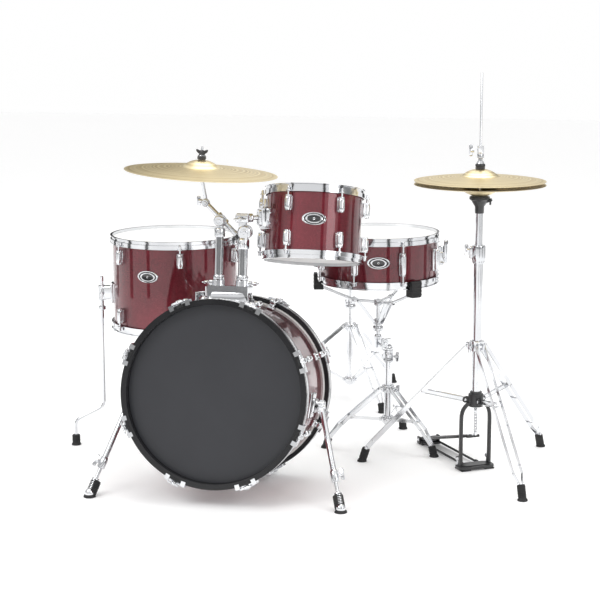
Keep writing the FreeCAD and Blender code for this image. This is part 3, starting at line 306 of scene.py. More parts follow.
def castAlloy():
    p = Paint("castAlloy")
    grain = p.noise(500, 3)
    return p.finish(Base_Color=p.mix(p.noise(20, 3), (0.42, 0.43, 0.45), (0.62, 0.63, 0.65)), Metallic=1.0,
                    Roughness=0.33 + grain * 0.14, Normal=p.bump(grain, 0.0003, 0.25))


def vinyl():
    # Leather-grained seat cover
    p = Paint("blackVinyl")
    pebbles = p.spots(420, feature="SMOOTH_F1")
    creases = p.noise(35, 4)
    return p.finish(Base_Color=p.mix(creases, (0.010, 0.010, 0.011), (0.024, 0.024, 0.026)),
                    Roughness=0.38 + pebbles * 0.3, Coat_Weight=0.15, Coat_Roughness=0.3,
                    Normal=p.bump(pebbles, 0.0008, 0.5, p.bump(creases, 0.002, 0.15)))


finishes = {
    "wine_wrap": wineWrap(),
    "charcoal_head": filmFinish("charcoalFilm", (0.015, 0.016, 0.020), (0.026, 0.027, 0.033), 0.25, 0.42,
                                0.12),
    "coated_head": filmFinish("coatedFilm", (0.80, 0.80, 0.79), (0.90, 0.90, 0.89), 0.5, 0.5),
    "black_lacquer": lacquer(),
    "chrome": chromeFinish("chrome"),
    "bronze": cymbalBronze("spareBronze", 200, 50),
    "felt": felt(),
    "black_rubber": rubber(),
    "black_metal": blackPaint(),
    "black_plastic": blackPaint("blackPlastic"),
    "cast_alloy": castAlloy(),
    "black_vinyl": vinyl(),
}
chrome = finishes["chrome"]
for entry in frame["record"]["subparts"]:
    data = nodes[entry["node"]].data
    data.materials.clear()
    data.materials.append(finishes[entry["material_slot"]])
print("finishes ready", len(finishes))


# mesh making

class Piece:
    # One object built up from turned, swept and boxed shapes

    def __init__(self, name, *materials):
        self.name = name
        self.materials = materials or (chrome,)
        self.bm = bmesh.new()
        self.current = 0

    def use(self, number):
        self.current = number
        return self

    def rings(self, rings, closed=False):
        # Skin over rings of points; a ring of one point closes an end
        made = [[self.bm.verts.new(co) for co in ring] for ring in rings]
        pairs = list(zip(made, made[1:])) + ([(made[-1], made[0])] if closed else [])
        for low, high in pairs:
            count = max(len(low), len(high))
            for n in range(count):
                if len(low) == 1:
                    corners = (low[0], high[(n + 1) % count], high[n])
                elif len(high) == 1:
                    corners = (low[n], low[(n + 1) % count], high[0])
                else:
                    corners = (low[n], low[(n + 1) % count], high[(n + 1) % count], high[n])
                self.bm.faces.new(corners).material_index = self.current
        return made

    def turn(self, outline, place, steps=32, closed=False):
        # Outline of (radius, height) in millimetres, turned about the place's Z
        rings = []
        for radius, height in outline:
            if radius < 1e-6:
                rings.append([place @ Vector((0, 0, height * mm))])
                continue
            rings.append([place @ polar(360 * n / steps, radius, height) for n in range(steps)])
        self.rings(rings, closed)
        return self

    def bar(self, radius, start, end, steps=20, chamfer=0.4):
        # Round bar between two points, its ends eased
        long = (end - start).length / mm
        ease = min(chamfer, radius * 0.4, long * 0.3)
        place = aim(start, end - start)
        return self.turn([(0, 0), (radius - ease, 0), (radius, ease), (radius, long - ease), (radius - ease,
                                                                                              long),
                          (0, long)], place, steps)

    def capsule(self, radius, start, end, steps=20, squash=1.0):
        # Bar with domed ends
        long = (end - start).length / mm
        dome = [(radius * math.sin(a), radius * squash * (1 - math.cos(a)))
                for a in [math.pi / 2 * n / 5 for n in range(6)]]
        outline = dome + [(r, long - h) for r, h in reversed(dome)]
        return self.turn(outline, aim(start, end - start), steps)

    def sweep(self, points, radius, steps=14, closed=False, flat=1.0):
        # Tube through points
        rings = []
        side = None
        count = len(points)
        for n, point in enumerate(points):
            before = points[(n - 1) % count] if closed or n else point
            after = points[(n + 1) % count] if closed or n < count - 1 else point
            along = (after - before).normalized()
            if side is None:
                side = along.orthogonal().normalized()
            side = (side - along * side.dot(along)).normalized()
            other = along.cross(side)
            ring = []
            for k in range(steps):
                angle = 2 * math.pi * k / steps
                ring.append(point + (side * math.cos(angle) + other * math.sin(angle) * flat) * (radius * mm))
            rings.append(ring)
        if not closed:
            rings = [[points[0]]] + rings + [[points[-1]]]
        self.rings(rings, closed)
        return self

    def box(self, size, place, ease=1.0, steps=2):
        # Box with eased edges, centred on its place
        made = bmesh.ops.create_cube(self.bm, size=1.0,
                                     matrix=place @ Matrix.Diagonal((*(Vector(size) * mm), 1)))["verts"]
        edges = {edge for vert in made for edge in vert.link_edges}
        ease = min(ease, min(size) * 0.45)
        eased = bmesh.ops.bevel(self.bm, geom=list(edges), offset=ease * mm, segments=steps, affect="EDGES",
                                profile=0.5)
        for face in {face for vert in eased["verts"] for face in vert.link_faces}:
            face.material_index = self.current
        return self

    def plate(self, outline, thickness, place, ease=0.6):
        # Flat outline of (x, y) made into a plate about its middle plane
        low = [self.bm.verts.new(place @ (Vector((x, y, -thickness / 2)) * mm)) for x, y in outline]
        high = [self.bm.verts.new(place @ (Vector((x, y, thickness / 2)) * mm)) for x, y in outline]
        faces = [self.bm.faces.new(high), self.bm.faces.new(reversed(low))]
        for n in range(len(low)):
            m = (n + 1) % len(low)
            faces.append(self.bm.faces.new((low[n], low[m], high[m], high[n])))
        rims = {edge for face in faces[:2] for edge in face.edges}
        eased = bmesh.ops.bevel(self.bm, geom=list(rims), offset=ease * mm, segments=2, affect="EDGES",
                                profile=0.5)
        for face in set(eased["faces"]) | {face for face in faces if face.is_valid}:
            face.material_index = self.current
        return self

    def curved(self, reach, spread, height, place, steps=8, ease=0.6):
        # Block between two reaches, angles and heights about the place's Z
        rings = []
        for n in range(steps + 1):
            angle = spread[0] + (spread[1] - spread[0]) * n / steps
            rings.append([place @ polar(angle, r, h) for r, h in
                          ((reach[0], height[0]), (reach[1], height[0]), (reach[1], height[1]),
                           (reach[0], height[1]))])
        made = self.rings(rings)
        ends = [self.bm.faces.new(reversed(made[0])), self.bm.faces.new(made[-1])]
        for face in ends:
            face.material_index = self.current
        sharp = {edge for ring in made for vert in ring for edge in vert.link_edges
                 if len(edge.link_faces) == 2 and edge.calc_face_angle(0) > 0.8}
        bmesh.ops.bevel(self.bm, geom=list(sharp), offset=ease * mm, segments=2, affect="EDGES", profile=0.5)
        return self

    def done(self, body, replaces=(), sharp=34):
        bm = self.bm
        bmesh.ops.recalc_face_normals(bm, faces=bm.faces)
        for face in bm.faces:
            face.smooth = True
        for edge in bm.edges:
            if len(edge.link_faces) == 2:
                edge.smooth = edge.calc_face_angle(0) < math.radians(sharp)
        mesh = bpy.data.meshes.new(self.name)
        bm.to_mesh(mesh)
        bm.free()
        for material in self.materials:
            mesh.materials.append(material)
        thing = bpy.data.objects.new(self.name, mesh)
        bpy.context.scene.collection.objects.link(thing)
        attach(thing, body)
        if replaces:
            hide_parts(*replaces)
        return thing


def wing(piece, root, direction, along, length=16, span=13, grow=1.0):
    # Wing screw: boss, collar and two swelling wings
    direction = Vector(direction).normalized()
    tip = root + direction * (length * mm)
    piece.turn([(0, -6), (4.9, -6), (5.3, -5), (5.3, 1), (4.6, 3.4), (3.4, 4.4), (0, 4.6)],
               aim(tip, direction), 24)
    flat = aim(tip + direction * (3 * mm), Vector(along).cross(direction), along)
    half = (span + 0.8) * grow
    outline = []
    for side in (1, -1):
        outline += [(side * 3.0, -side * 4.8), (side * half * 0.62, -side * 5.2), (side * half * 0.94,
                                                                                   -side * 4.2),
                    (side * half, -side * 0.5), (side * half * 0.96, side * 4.0), (side * half * 0.7,
                                                                                   side * 5.6),
                    (side * 3.0, side * 4.9)]
    piece.plate(outline, 3.6, flat, 1.2)


def rubberFoot(piece, foot, top, radius, length):
    # Ribbed cup: flat on the floor, then square to the leg it sits on
    along = (top - foot).normalized()
    outline = [(0.0, radius * 0.86), (0.6, radius), (3.0, radius), (5.5, radius * 0.9), (8.0, radius * 0.78)]
    height = 10.0
    while height < length - 4:
        outline += [(height, radius * 0.78), (height + 0.8, radius * 0.86), (height + 2.2, radius * 0.86),
                    (height + 3.0, radius * 0.78)]
        height += 4.2
    outline += [(length - 1.5, radius * 0.82), (length, radius * 0.7)]
    rings = [[foot]]
    for height, reach in outline:
        share = min(1.0, height / 9.0)
        normal = (up * (1 - share) + along * share).normalized()
        place = aim(foot + along * (height * mm), normal)
        if height < 0.01:
            place = aim(foot, up)
        rings.append([place @ polar(15 * n, reach) for n in range(24)])
    rings.append([foot + along * (length * mm)])
    piece.rings(rings)


# bass drum

bass = {"tilt": 7.9, "radius": 228.6, "hoop": 245, "edge": 150, "reach": 23, "lugs": 8, "claw": 46}
tilt = math.radians(bass["tilt"])
bassMiddle = kit(0, 0, bass["hoop"] * math.cos(tilt) + (bass["edge"] + bass["reach"]) * math.sin(tilt))
bassPlace = Matrix.Translation(bassMiddle) @ Matrix.Rotation(math.pi / 2 - tilt, 4, "X")


def inBass(x, y, z):
    return bassPlace @ (Vector((x, y, z)) * mm)


def bassLugs():
    piece = Piece("bassLugsAndClaws", chrome, finishes["black_rubber"])
    face = bass["edge"] + bass["reach"]
    for n in range(bass["lugs"]):
        angle = (n + 0.5) * 360 / bass["lugs"]
        for sign in (1, -1):
            place = bassPlace if sign > 0 else bassPlace @ Matrix.Rotation(math.pi, 4, "X")
            turn = place @ Matrix.Rotation(math.radians(angle if sign > 0 else -angle), 4, "Z")

            def spot(radius, height, shift=0):
                return turn @ (Vector((radius, shift, height)) * mm)

            out = (turn.to_3x3() @ alongX).normalized()
            side = (turn.to_3x3() @ alongY).normalized()
            forward = (turn.to_3x3() @ up).normalized()
            start = bass["edge"] - 58
            piece.use(0)
            piece.box((9, 20, 38), aim(spot(bass["radius"] + 4.6, start), forward, out), 3.2, 3)
            piece.box((16, 14, 30), aim(spot(bass["radius"] + 11, start), forward, out), 4.5, 3)
            piece.capsule(8.2, spot(251, start - 20), spot(251, start + 20), 24, 0.6)
            piece.turn([(3.2, 19), (5.4, 19.4), (5.4, 23), (3.2, 23.6)], aim(spot(251, start), forward), 20)
            reach = bass["hoop"]
            spread = math.degrees((bass["claw"] / 2 + 6) / reach)
            piece.curved((reach + 0.3, reach + 6.6), (-spread, spread), (face - 20, face - 6), turn, 10, 1.2)
            for shift in (-1, 1):
                centre = math.degrees(bass["claw"] / 2 / reach) * shift
                half = math.degrees(6.2 / reach)
                piece.curved((reach + 0.3, reach + 6.4), (centre - half, centre + half),
                             (face - 22, face + 3.2),
                             turn, 4, 1.4)
                piece.curved((reach - 8, reach + 6.2), (centre - half, centre + half),
                             (face + 0.3, face + 3.4),
                             turn, 4, 1.2)
            piece.box((11, 15, 24), aim(spot(reach + 7, face - 10), forward, out), 3.5, 3)
            piece.bar(3, spot(251, start + 18), spot(251, face + 11))
            piece.turn([(0, -4), (5.4, -4), (5.9, -3), (5.9, 1.5), (4.2, 4.5), (3.2, 5)],
                       aim(spot(251, face + 2), forward), 24)
            end = spot(251, face + 11)
            piece.capsule(2.9, end - side * (16.5 * mm), end + side * (16.5 * mm), 18)
            piece.capsule(4.3, end - forward * (4.6 * mm), end + forward * (4.4 * mm), 20, 0.7)
            piece.use(1)
            piece.curved((reach - 7, reach - 0.2), (-spread * 0.3, spread * 0.3), (face + 0.02, face + 0.7),
                         turn, 4,
                         0.2)
    piece.done("stands", ["bass_lugs"])


def bassInlay():
    # Bright strip let into each wooden hoop
    piece = Piece("bassHoopInlay", chromeFinish("inlayStrip", {"bright": (0.75, 0.75, 0.76), "dull": (0.6,
                                                                                                      0.6,
                                                                                                      0.62),
                                                             "roughness": 0.2}))
    for sign in (1, -1):
        low, high = bass["edge"] - 3, bass["edge"] + 11
        outline = [(245.0, low), (245.35, low + 0.3), (245.35, high - 0.3), (245.0, high)]
        piece.turn([(r, h * sign) for r, h in outline], bassPlace, 160)
    piece.done("stands")


def ovalBadge(name, body, radius, angle, height, place, wide=32, tall=17):
    # Plain oval badge that follows the shell
    field = Paint(name + "Field")
    sheen = field.noise(120, 2)
    dark = field.finish(Base_Color=field.mix(sheen, (0.012, 0.012, 0.013), (0.03, 0.03, 0.034)),
                        Roughness=0.25,
                        Coat_Weight=0.8, Coat_Roughness=0.05)
    piece = Piece(name, chrome, dark)
    steps = 48
    profile = [(0, 1.3, 1), (0.55, 1.3, 1), (0.60, 1.6, 0), (0.66, 1.6, 0), (0.70, 1.3, 1), (0.84, 1.3, 1),
               (0.87, 2.0, 0), (0.95, 2.1, 0), (1.0, 0.9, 0)]
    made = []
    for share, lift, kind in profile:
        ring = []
        for n in range(steps if share else 1):
            turn = 2 * math.pi * n / steps
            along = wide * share * math.cos(turn)
            rise = tall * share * math.sin(turn)
            ring.append(place @ polar(angle + math.degrees(along / radius), radius + lift, height + rise))
        made.append(([piece.bm.verts.new(co) for co in ring], kind))
    for (low, lowKind), (high, kind) in zip(made, made[1:]):
        for n in range(steps):
            m = (n + 1) % steps
            corners = (low[0], high[n], high[m]) if len(low) == 1 else (low[n], high[n], high[m], low[m])
            piece.bm.faces.new(corners).material_index = 1 if lowKind and kind else 0
    piece.turn([(1.6, 1.5), (2.9, 2.4), (3.6, 1.6), (3.8, 1.2)],
               aim(place @ polar(angle, radius, height), (place.to_3x3() @ polar(angle, 1)), up), 24)
    piece.done(body)


bassLugs()
bassInlay()
print("bass drum done")

# toms and snare

drums = {
    "tom": {"body": "rack_tom", "middle": (200, 145, 689.5), "tilt": -13.5, "radius": 127, "depth": 178,
            "lugs": 6,
            "first": -48.8, "lug": 44, "badge": -78.8, "badgeHeight": 6},
    "floor_tom": {"body": "floor_tom", "middle": (-257.7, 399.2, 485.6), "tilt": 0, "radius": 177.8,
                  "depth": 254,
                  "lugs": 6, "first": -70, "lug": 44, "badge": -100, "badgeHeight": 36},
    "snare": {"body": "snare", "middle": (322.4, 486.4, 561.2), "tilt": 0, "radius": 165.1, "depth": 127,
              "lugs": 8,
              "first": -58.6, "lug": 68, "badge": -81.1, "badgeHeight": 4},
}


def drumPlace(drum):
    return Matrix.Translation(kit(*drum["middle"])) @ Matrix.Rotation(math.radians(drum["tilt"]), 4, "X")


def drumLugs(name, drum):
    piece = Piece(name + "LugCasings", chrome)
    place = drumPlace(drum)
    edge = drum["depth"] / 2
    reach = drum["radius"] + 13
    for n in range(drum["lugs"]):
        angle = drum["first"] + 360 * n / drum["lugs"]
        turn = place @ Matrix.Rotation(math.radians(angle), 4, "Z")

        def spot(radius, height):
            return turn @ (Vector((radius, 0, height)) * mm)

        out = turn.to_3x3() @ alongX
        high = turn.to_3x3() @ up
        centres = [0] if name == "snare" else [edge - 23 - 20, -(edge - 23 - 20)]
        for centre in centres:
            half = drum["lug"] / 2
            piece.box((9, 18.5, drum["lug"] - 4), aim(spot(drum["radius"] + 4.2, centre), high, out), 3.4, 3)
            piece.box((14, 13, drum["lug"] - 10), aim(spot(drum["radius"] + 9, centre), high, out), 4.6, 3)
            piece.capsule(8.3, spot(reach, centre - half), spot(reach, centre + half), 24, 1.5)
        for sign in (1, -1):
            ear = (edge - 11) * sign
            outward = high * sign
            top = spot(reach, ear)
            piece.bar(2.75, spot(reach, (edge - 40) * sign), top)
            piece.turn([(2.8, 0.05), (5.6, 0.05), (5.6, 1.2), (5.0, 1.7), (2.8, 1.7)], aim(top, outward), 24)
            piece.box((6, 6, 9), aim(top + outward * (6 * mm), outward, out), 0.9)
    piece.done(drum["body"])


for name, drum in drums.items():
    drumLugs(name, drum)
    ovalBadge(name + "Badge", drum["body"], drum["radius"], drum["badge"], drum["badgeHeight"],
              drumPlace(drum))
print("toms and snare done")


# cymbals

cymbals = {
    "crash": {"body": "crash", "radius": 203.2, "bow": 14, "bell": 18, "bellRadius": 50, "middle": (-88, 66,
                                                                                                    834),
              "turn": (0, math.radians(3.6), 0), "node": "crash_cymbal"},
    "hatTop": {"body": "hihat_top", "radius": 177.8, "bow": 12, "bell": 19, "bellRadius": 52,
               "middle": (626.2, 301.6, 803), "turn": (0, 0, 0), "node": "hihat_top_cymbal"},
    "hatBottom": {"body": "hihat_upper", "radius": 177.8, "bow": 12, "bell": 19, "bellRadius": 52,
                  "middle": (626.2, 301.6, 792.5), "turn": (math.pi, 0, 0), "node": "hihat_bottom_cymbal"},
}


def cymbal(name, part):
    radius, rim = part["radius"], part["bellRadius"]
    top = []
    for n in range(25):
        share = n / 24
        top.append((radius + (rim - radius) * share, part["bow"] * share + 2.3 * 4 * share * (1 - share)))
    for n in range(1, 17):
        share = n / 16
        top.append((rim + (7 - rim) * share,
                    part["bow"] + part["bell"] * share + 5.2 * 4 * share * (1 - share)))
    under = [(r, h - 1.15) for r, h in reversed(top)]
    under[-1] = (radius, -0.7)
    piece = Piece(name + "Cymbal", cymbalBronze(name + "Bronze", radius, rim))
    piece.turn(top + under, Matrix.Identity(4), 160, closed=True)
    bm = piece.bm
    bmesh.ops.recalc_face_normals(bm, faces=bm.faces)
    for face in bm.faces:
        face.smooth = True
    mesh = bpy.data.meshes.new(name + "Cymbal")
    for edge in bm.edges:
        edge.smooth = edge.calc_face_angle(0) < 1.0
    bm.to_mesh(mesh)
    bm.free()
    mesh.materials.append(piece.materials[0])
    thing = bpy.data.objects.new(name + "Cymbal", mesh)
    bpy.context.scene.collection.objects.link(thing)
    thing.matrix_world = Matrix.Translation(kit(*part["middle"])) @ Matrix.Rotation(part["turn"][1], 4, "Y") \
        @ Matrix.Rotation(part["turn"][0], 4, "X")
    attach(thing, part["body"])
    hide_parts(part["node"])


for name, part in cymbals.items():
    cymbal(name, part)
print("cymbals done")

# hardware that the stands share

blackRubberFinish = finishes["black_rubber"]
blackPaintFinish = finishes["black_metal"]
plasticFinish = finishes["black_plastic"]
feltFinish = finishes["felt"]


def rivet(piece, point, direction, radius=4.4, lift=2.2):
    place = aim(point, direction)
    piece.turn([(0, lift), (radius * 0.5, lift * 0.92), (radius * 0.85, lift * 0.55), (radius, 0.2),
                (radius, -0.6)],
               place, 18)


def boltHead(piece, point, direction, radius=5.0, height=4.0):
    # Washer with a six-sided head on it
    place = aim(point, direction)
    piece.turn([(0, 0.9), (radius * 1.4, 0.9), (radius * 1.5, 0.5), (radius * 1.5, -0.5)], place, 24)
    piece.turn([(0, height), (radius * 0.86, height), (radius, height - 0.7), (radius, 0.8)], place, 6)


def railLips(piece, start, end, side, width=12.0, lip=1.35):
    # Rolled lips along both edges of a flat rail
    face = (end - start).normalized().cross(side).normalized()
    for sign in (1, -1):
        shift = face * (sign * (width / 2 - 0.6) * mm)
        piece.capsule(lip, start + shift, end + shift, 10)


def legRails(piece, hip, bend, ankle, side, gap, width, pinch):
    for sign in (1, -1):
        shift = side * (sign * gap / 2 * mm)
        railLips(piece, hip + shift, bend + shift, side, width)
        railLips(piece, bend + shift, ankle + shift * pinch, side, width)
        rivet(piece, hip + shift + side * (sign * 1.3 * mm), side * sign)
        rivet(piece, bend + shift + side * (sign * 1.3 * mm), side * sign, 3.6, 1.6)


# three-legged bases of the snare stand and the throne

bases = {
    "snareStand": {"middle": (350, 508), "angles": (84, 204, 324), "reach": 187, "tube": 11, "collar": 168,
                   "hub": 77, "top": 282, "gap": 20, "share": 0.42, "wing": -20},
    "throne": {"middle": (137, 1085), "angles": (-56, 64, 184), "reach": 250, "tube": 12, "collar": 235,
               "hub": 56, "top": 330, "gap": 26, "share": 0.45, "wing": -110},
}


def standBase(name, part):
    piece = Piece(name + "Fittings", chrome, blackRubberFinish)
    base = kit(*part["middle"])
    tube = part["tube"]
    upright = Matrix.Translation(base)
    top, collar, hub = part["top"], part["collar"], part["hub"]
    piece.turn([(tube + 4.1, top - 35), (tube + 5.2, top - 34), (tube + 5.2, top - 26),
                (tube + 4.3, top - 24),
                (tube + 4.3, top - 8), (tube + 5.4, top - 6), (tube + 5.2, top + 0.6), (tube + 1, top + 1.0)],
               upright, 40)
    piece.turn([(tube + 0.2, collar - 11), (tube + 6.4, collar - 10.4), (tube + 7.6, collar - 8.6),
                (tube + 7.6, collar + 8.6), (tube + 6.4, collar + 10.4), (tube + 0.2, collar + 11)],
               upright, 40)
    piece.turn([(tube + 0.2, hub - 11.6), (tube + 5.6, hub - 11), (tube + 6.6, hub - 9),
                (tube + 6.6, hub + 7),
                (tube + 5.6, hub + 9), (tube + 0.2, hub + 9.6)], upright, 40)
    piece.turn([(0, hub - 17), (tube * 0.8, hub - 17), (tube + 0.8, hub - 15.6), (tube + 0.8, hub - 12)],
               upright, 32)
    for angle in part["angles"]:
        out, side = polar(angle, 1) / mm, polar(angle + 90, 1) / mm
        hip = base + out * ((tube + 9) * mm) + up * (collar * mm)
        ankle = base + out * ((part["reach"] - 10) * mm) + up * (30 * mm)
        bend = ankle - out * (34 * mm) + up * (40 * mm)
        legRails(piece, hip, bend, ankle, side, part["gap"], 10, 0.35)
        inner = base + out * ((tube + 8) * mm) + up * (hub * mm)
        knee = ankle + (hip - ankle) * part["share"]
        railLips(piece, inner, knee, side, 9, 1.1)
        for point in (hip, inner, knee):
            piece.bar(3.1, point - side * ((part["gap"] / 2 + 2.4) * mm),
                      point + side * ((part["gap"] / 2 + 2.4) * mm))
        for sign in (1, -1):
            rivet(piece, knee + side * (sign * (part["gap"] / 2 + 1.4) * mm), side * sign)
        piece.box((18, 9, 14), aim(hip - out * (3 * mm), up, out), 2.5)
        piece.box((16, 9, 14), aim(inner - out * (3 * mm), up, out), 2.5)
    turn = part["wing"]
    wing(piece, base + polar(turn, tube + 3, top - 17), polar(turn, 1), up, 13, 11.5, 1.2)
    wing(piece, base + polar(turn + 8, tube + 6, collar), polar(turn + 8, 1), up, 11, 10.5, 1.15)
    boltHead(piece, base + polar(turn + 180, tube + 5, top - 17), polar(turn + 180, 1), 4, 3)
    piece.done("stands")


def rubberFeet():
    piece = Piece("rubberFeet", blackRubberFinish)
    for part in bases.values():
        for angle in part["angles"]:
            foot = kit(*part["middle"]) + polar(angle, part["reach"])
            rubberFoot(piece, foot, kit(*part["middle"]) + polar(angle, part["reach"] - 10, 30), 13.5, 31)
    drum = drums["floor_tom"]["middle"]
    for angle in floorLegs["angles"]:
        foot = kit(drum[0], drum[1]) + polar(angle, floorLegs["foot"])
        rubberFoot(piece, foot, foot + up * (30 * mm), 14, 31)
    piece.done("stands", ["rubber_feet"])


floorLegs = {"angles": (-164, -50, 74), "reach": 212, "foot": 296, "rod": 4.8, "drop": -34}

for name, part in bases.items():
    standBase(name, part)
rubberFeet()


# floor tom's leg brackets and memory locks

def floorBrackets():
    drum = drums["floor_tom"]
    middleOf = kit(*drum["middle"])
    piece = Piece("floorTomLegBrackets", chrome)
    locks = Piece("floorTomLegLocks", chrome)
    for angle in floorLegs["angles"]:
        out, side = polar(angle, 1) / mm, polar(angle + 90, 1) / mm
        centre = middleOf + up * (floorLegs["drop"] * mm)
        piece.box((7, 43, 58), aim(centre + out * ((drum["radius"] + 4) * mm), up, out), 3.2, 3)
        piece.box((40, 30, 40), aim(centre + out * ((drum["radius"] + 15) * mm), up, out), 7, 4)
        barrel = aim(centre + out * (floorLegs["reach"] * mm), up)
        piece.turn([(5.2, -21), (9.6, -21), (11, -19.6), (11, -15), (10.2, -14), (10.2, 14), (11, 15),
                    (11, 19.6),
                    (9.6, 21), (5.2, 21)], barrel, 32)
        hold = centre + out * (floorLegs["reach"] * mm)
        wing(piece, hold + side * (7 * mm), side, up, 16, 11, 1.25)
        for sign in (1, -1):
            boltHead(piece, centre + out * ((drum["radius"] + 6.6) * mm) + up * (sign * 22.5 * mm), out,
                     3.6, 3)
        low = kit(drum["middle"][0], drum["middle"][1]) + polar(angle, floorLegs["reach"], 0)
        lock = aim(low + up * (407 * mm), up)
        locks.turn([(4.9, -5), (9, -5), (9.8, -4), (9.8, 4), (9, 5), (4.9, 5)], lock, 28)
        boltHead(locks, low + up * (407 * mm) + out * (9 * mm), out, 3.0, 5)
    piece.done("floor_tom")
    locks.done("stands")


floorBrackets()
print("stand bases and floor tom legs done")

# mount box, posts, ratchets and the tom's bracket

mount = {"half": 32.25, "forward": 14, "height": 46, "long": 108, "deep": 60, "posts": {-1: 11, 1: 12.5}}


def postPoint(side, height):
    foot = inBass(side * mount["half"], bass["radius"] + mount["height"], mount["forward"])
    direction = (bassPlace.to_3x3() @ alongY).normalized()
    return foot + direction * ((height * mm - foot.z) / direction.z)


def mountCasing():
    # Cast casing that flares out to sit on the shell
    piece = Piece("mountCasing", chrome, plasticFinish)
    shell = bass["radius"] + 0.25
    top = bass["radius"] + mount["height"] - 8 + 0.6
    rings = []
    for lift, grow in ((None, 8), (10, 7.2), (16, 4), (30, 1.4), (top - shell - 2.5, 0.6), (top - shell,
                                                                                            -1.6)):
        ring = []
        for n in range(64):
            turn = 2 * math.pi * n / 64
            x = (mount["long"] / 2 + grow) * math.copysign(abs(math.cos(turn)) ** 0.28, math.cos(turn))
            z = (mount["deep"] / 2 + grow * 0.8) * math.copysign(abs(math.sin(turn)) ** 0.28, math.sin(turn))
            arch = math.sqrt(shell * shell - x * x)
            ring.append(inBass(x, arch if lift is None else max(arch + 1, shell + lift - 8),
                               z + mount["forward"]))
        rings.append(ring)
    rings.append([inBass(0, top, mount["forward"])])
    piece.rings(rings)
    raised = (bassPlace.to_3x3() @ alongY).normalized()
    front = (bassPlace.to_3x3() @ up).normalized()
    for side, radius in mount["posts"].items():
        foot = inBass(side * mount["half"], bass["radius"] + mount["height"] - 1, mount["forward"])
        place = aim(foot, raised, (bassPlace.to_3x3() @ alongX))
        piece.turn([(radius + 0.2, -8), (radius + 8, -8), (radius + 8.6, -6.8), (radius + 6.4, -5.6),
                    (radius + 5.4, -3),
                    (radius + 5.4, 13), (radius + 4.4, 15.4), (radius + 0.2, 15.6)], place, 44)
        piece.turn([(radius + 0.1, 15.6), (radius + 2.6, 15.8), (radius + 3.2, 17), (radius + 3.2, 27),
                    (radius + 2.6, 28.4), (radius + 0.1, 28.6)], place, 44)
        outward = (bassPlace.to_3x3() @ alongX).normalized() * side
        root = inBass(side * (mount["half"] + radius + 8), bass["radius"] + mount["height"] + 7,
                      mount["forward"])
        piece.box((14, 15, 14), aim(root - outward * (1 * mm), raised, outward), 3, 3)
        wing(piece, root, outward, front, 15, 12, 1.3)
        boltHead(piece, foot + raised * (22 * mm) + front * ((radius + 2.6) * mm), front, 3.2, 5)
        piece.box((9, 12, 11), aim(foot + raised * (22 * mm) + front * ((radius + 3) * mm), raised,
                                   outward), 2)
    for x in (-mount["long"] / 2 + 8, mount["long"] / 2 - 8):
        for z in (-14, 14):
            point = inBass(x, top - 0.5, z + mount["forward"])
            boltHead(piece, point, raised, 3.4, 2.6)
    piece.done("stands")


def ratchet(piece, centre, direction, radius, thick, teeth=28):
    # Disc with a toothed edge, a sunk face and a centre bolt
    place = aim(centre, direction)
    piece.turn([(0, thick - 1.6), (radius * 0.5, thick - 1.6), (radius * 0.56, thick), (radius * 0.86, thick),
                (radius * 0.98, thick - 1.6), (radius * 1.02, thick - 3), (radius * 1.02, 1),
                (radius * 0.96, 0)],
               place, 48)
    for n in range(teeth):
        spot = place @ polar(360 * n / teeth, radius * 1.0, 1.2)
        piece.bar(1.1, spot, spot + direction.normalized() * ((thick - 4) * mm), 8)
    boltHead(piece, centre + direction.normalized() * ((thick - 1.4) * mm), direction, 5.4, 4.4)


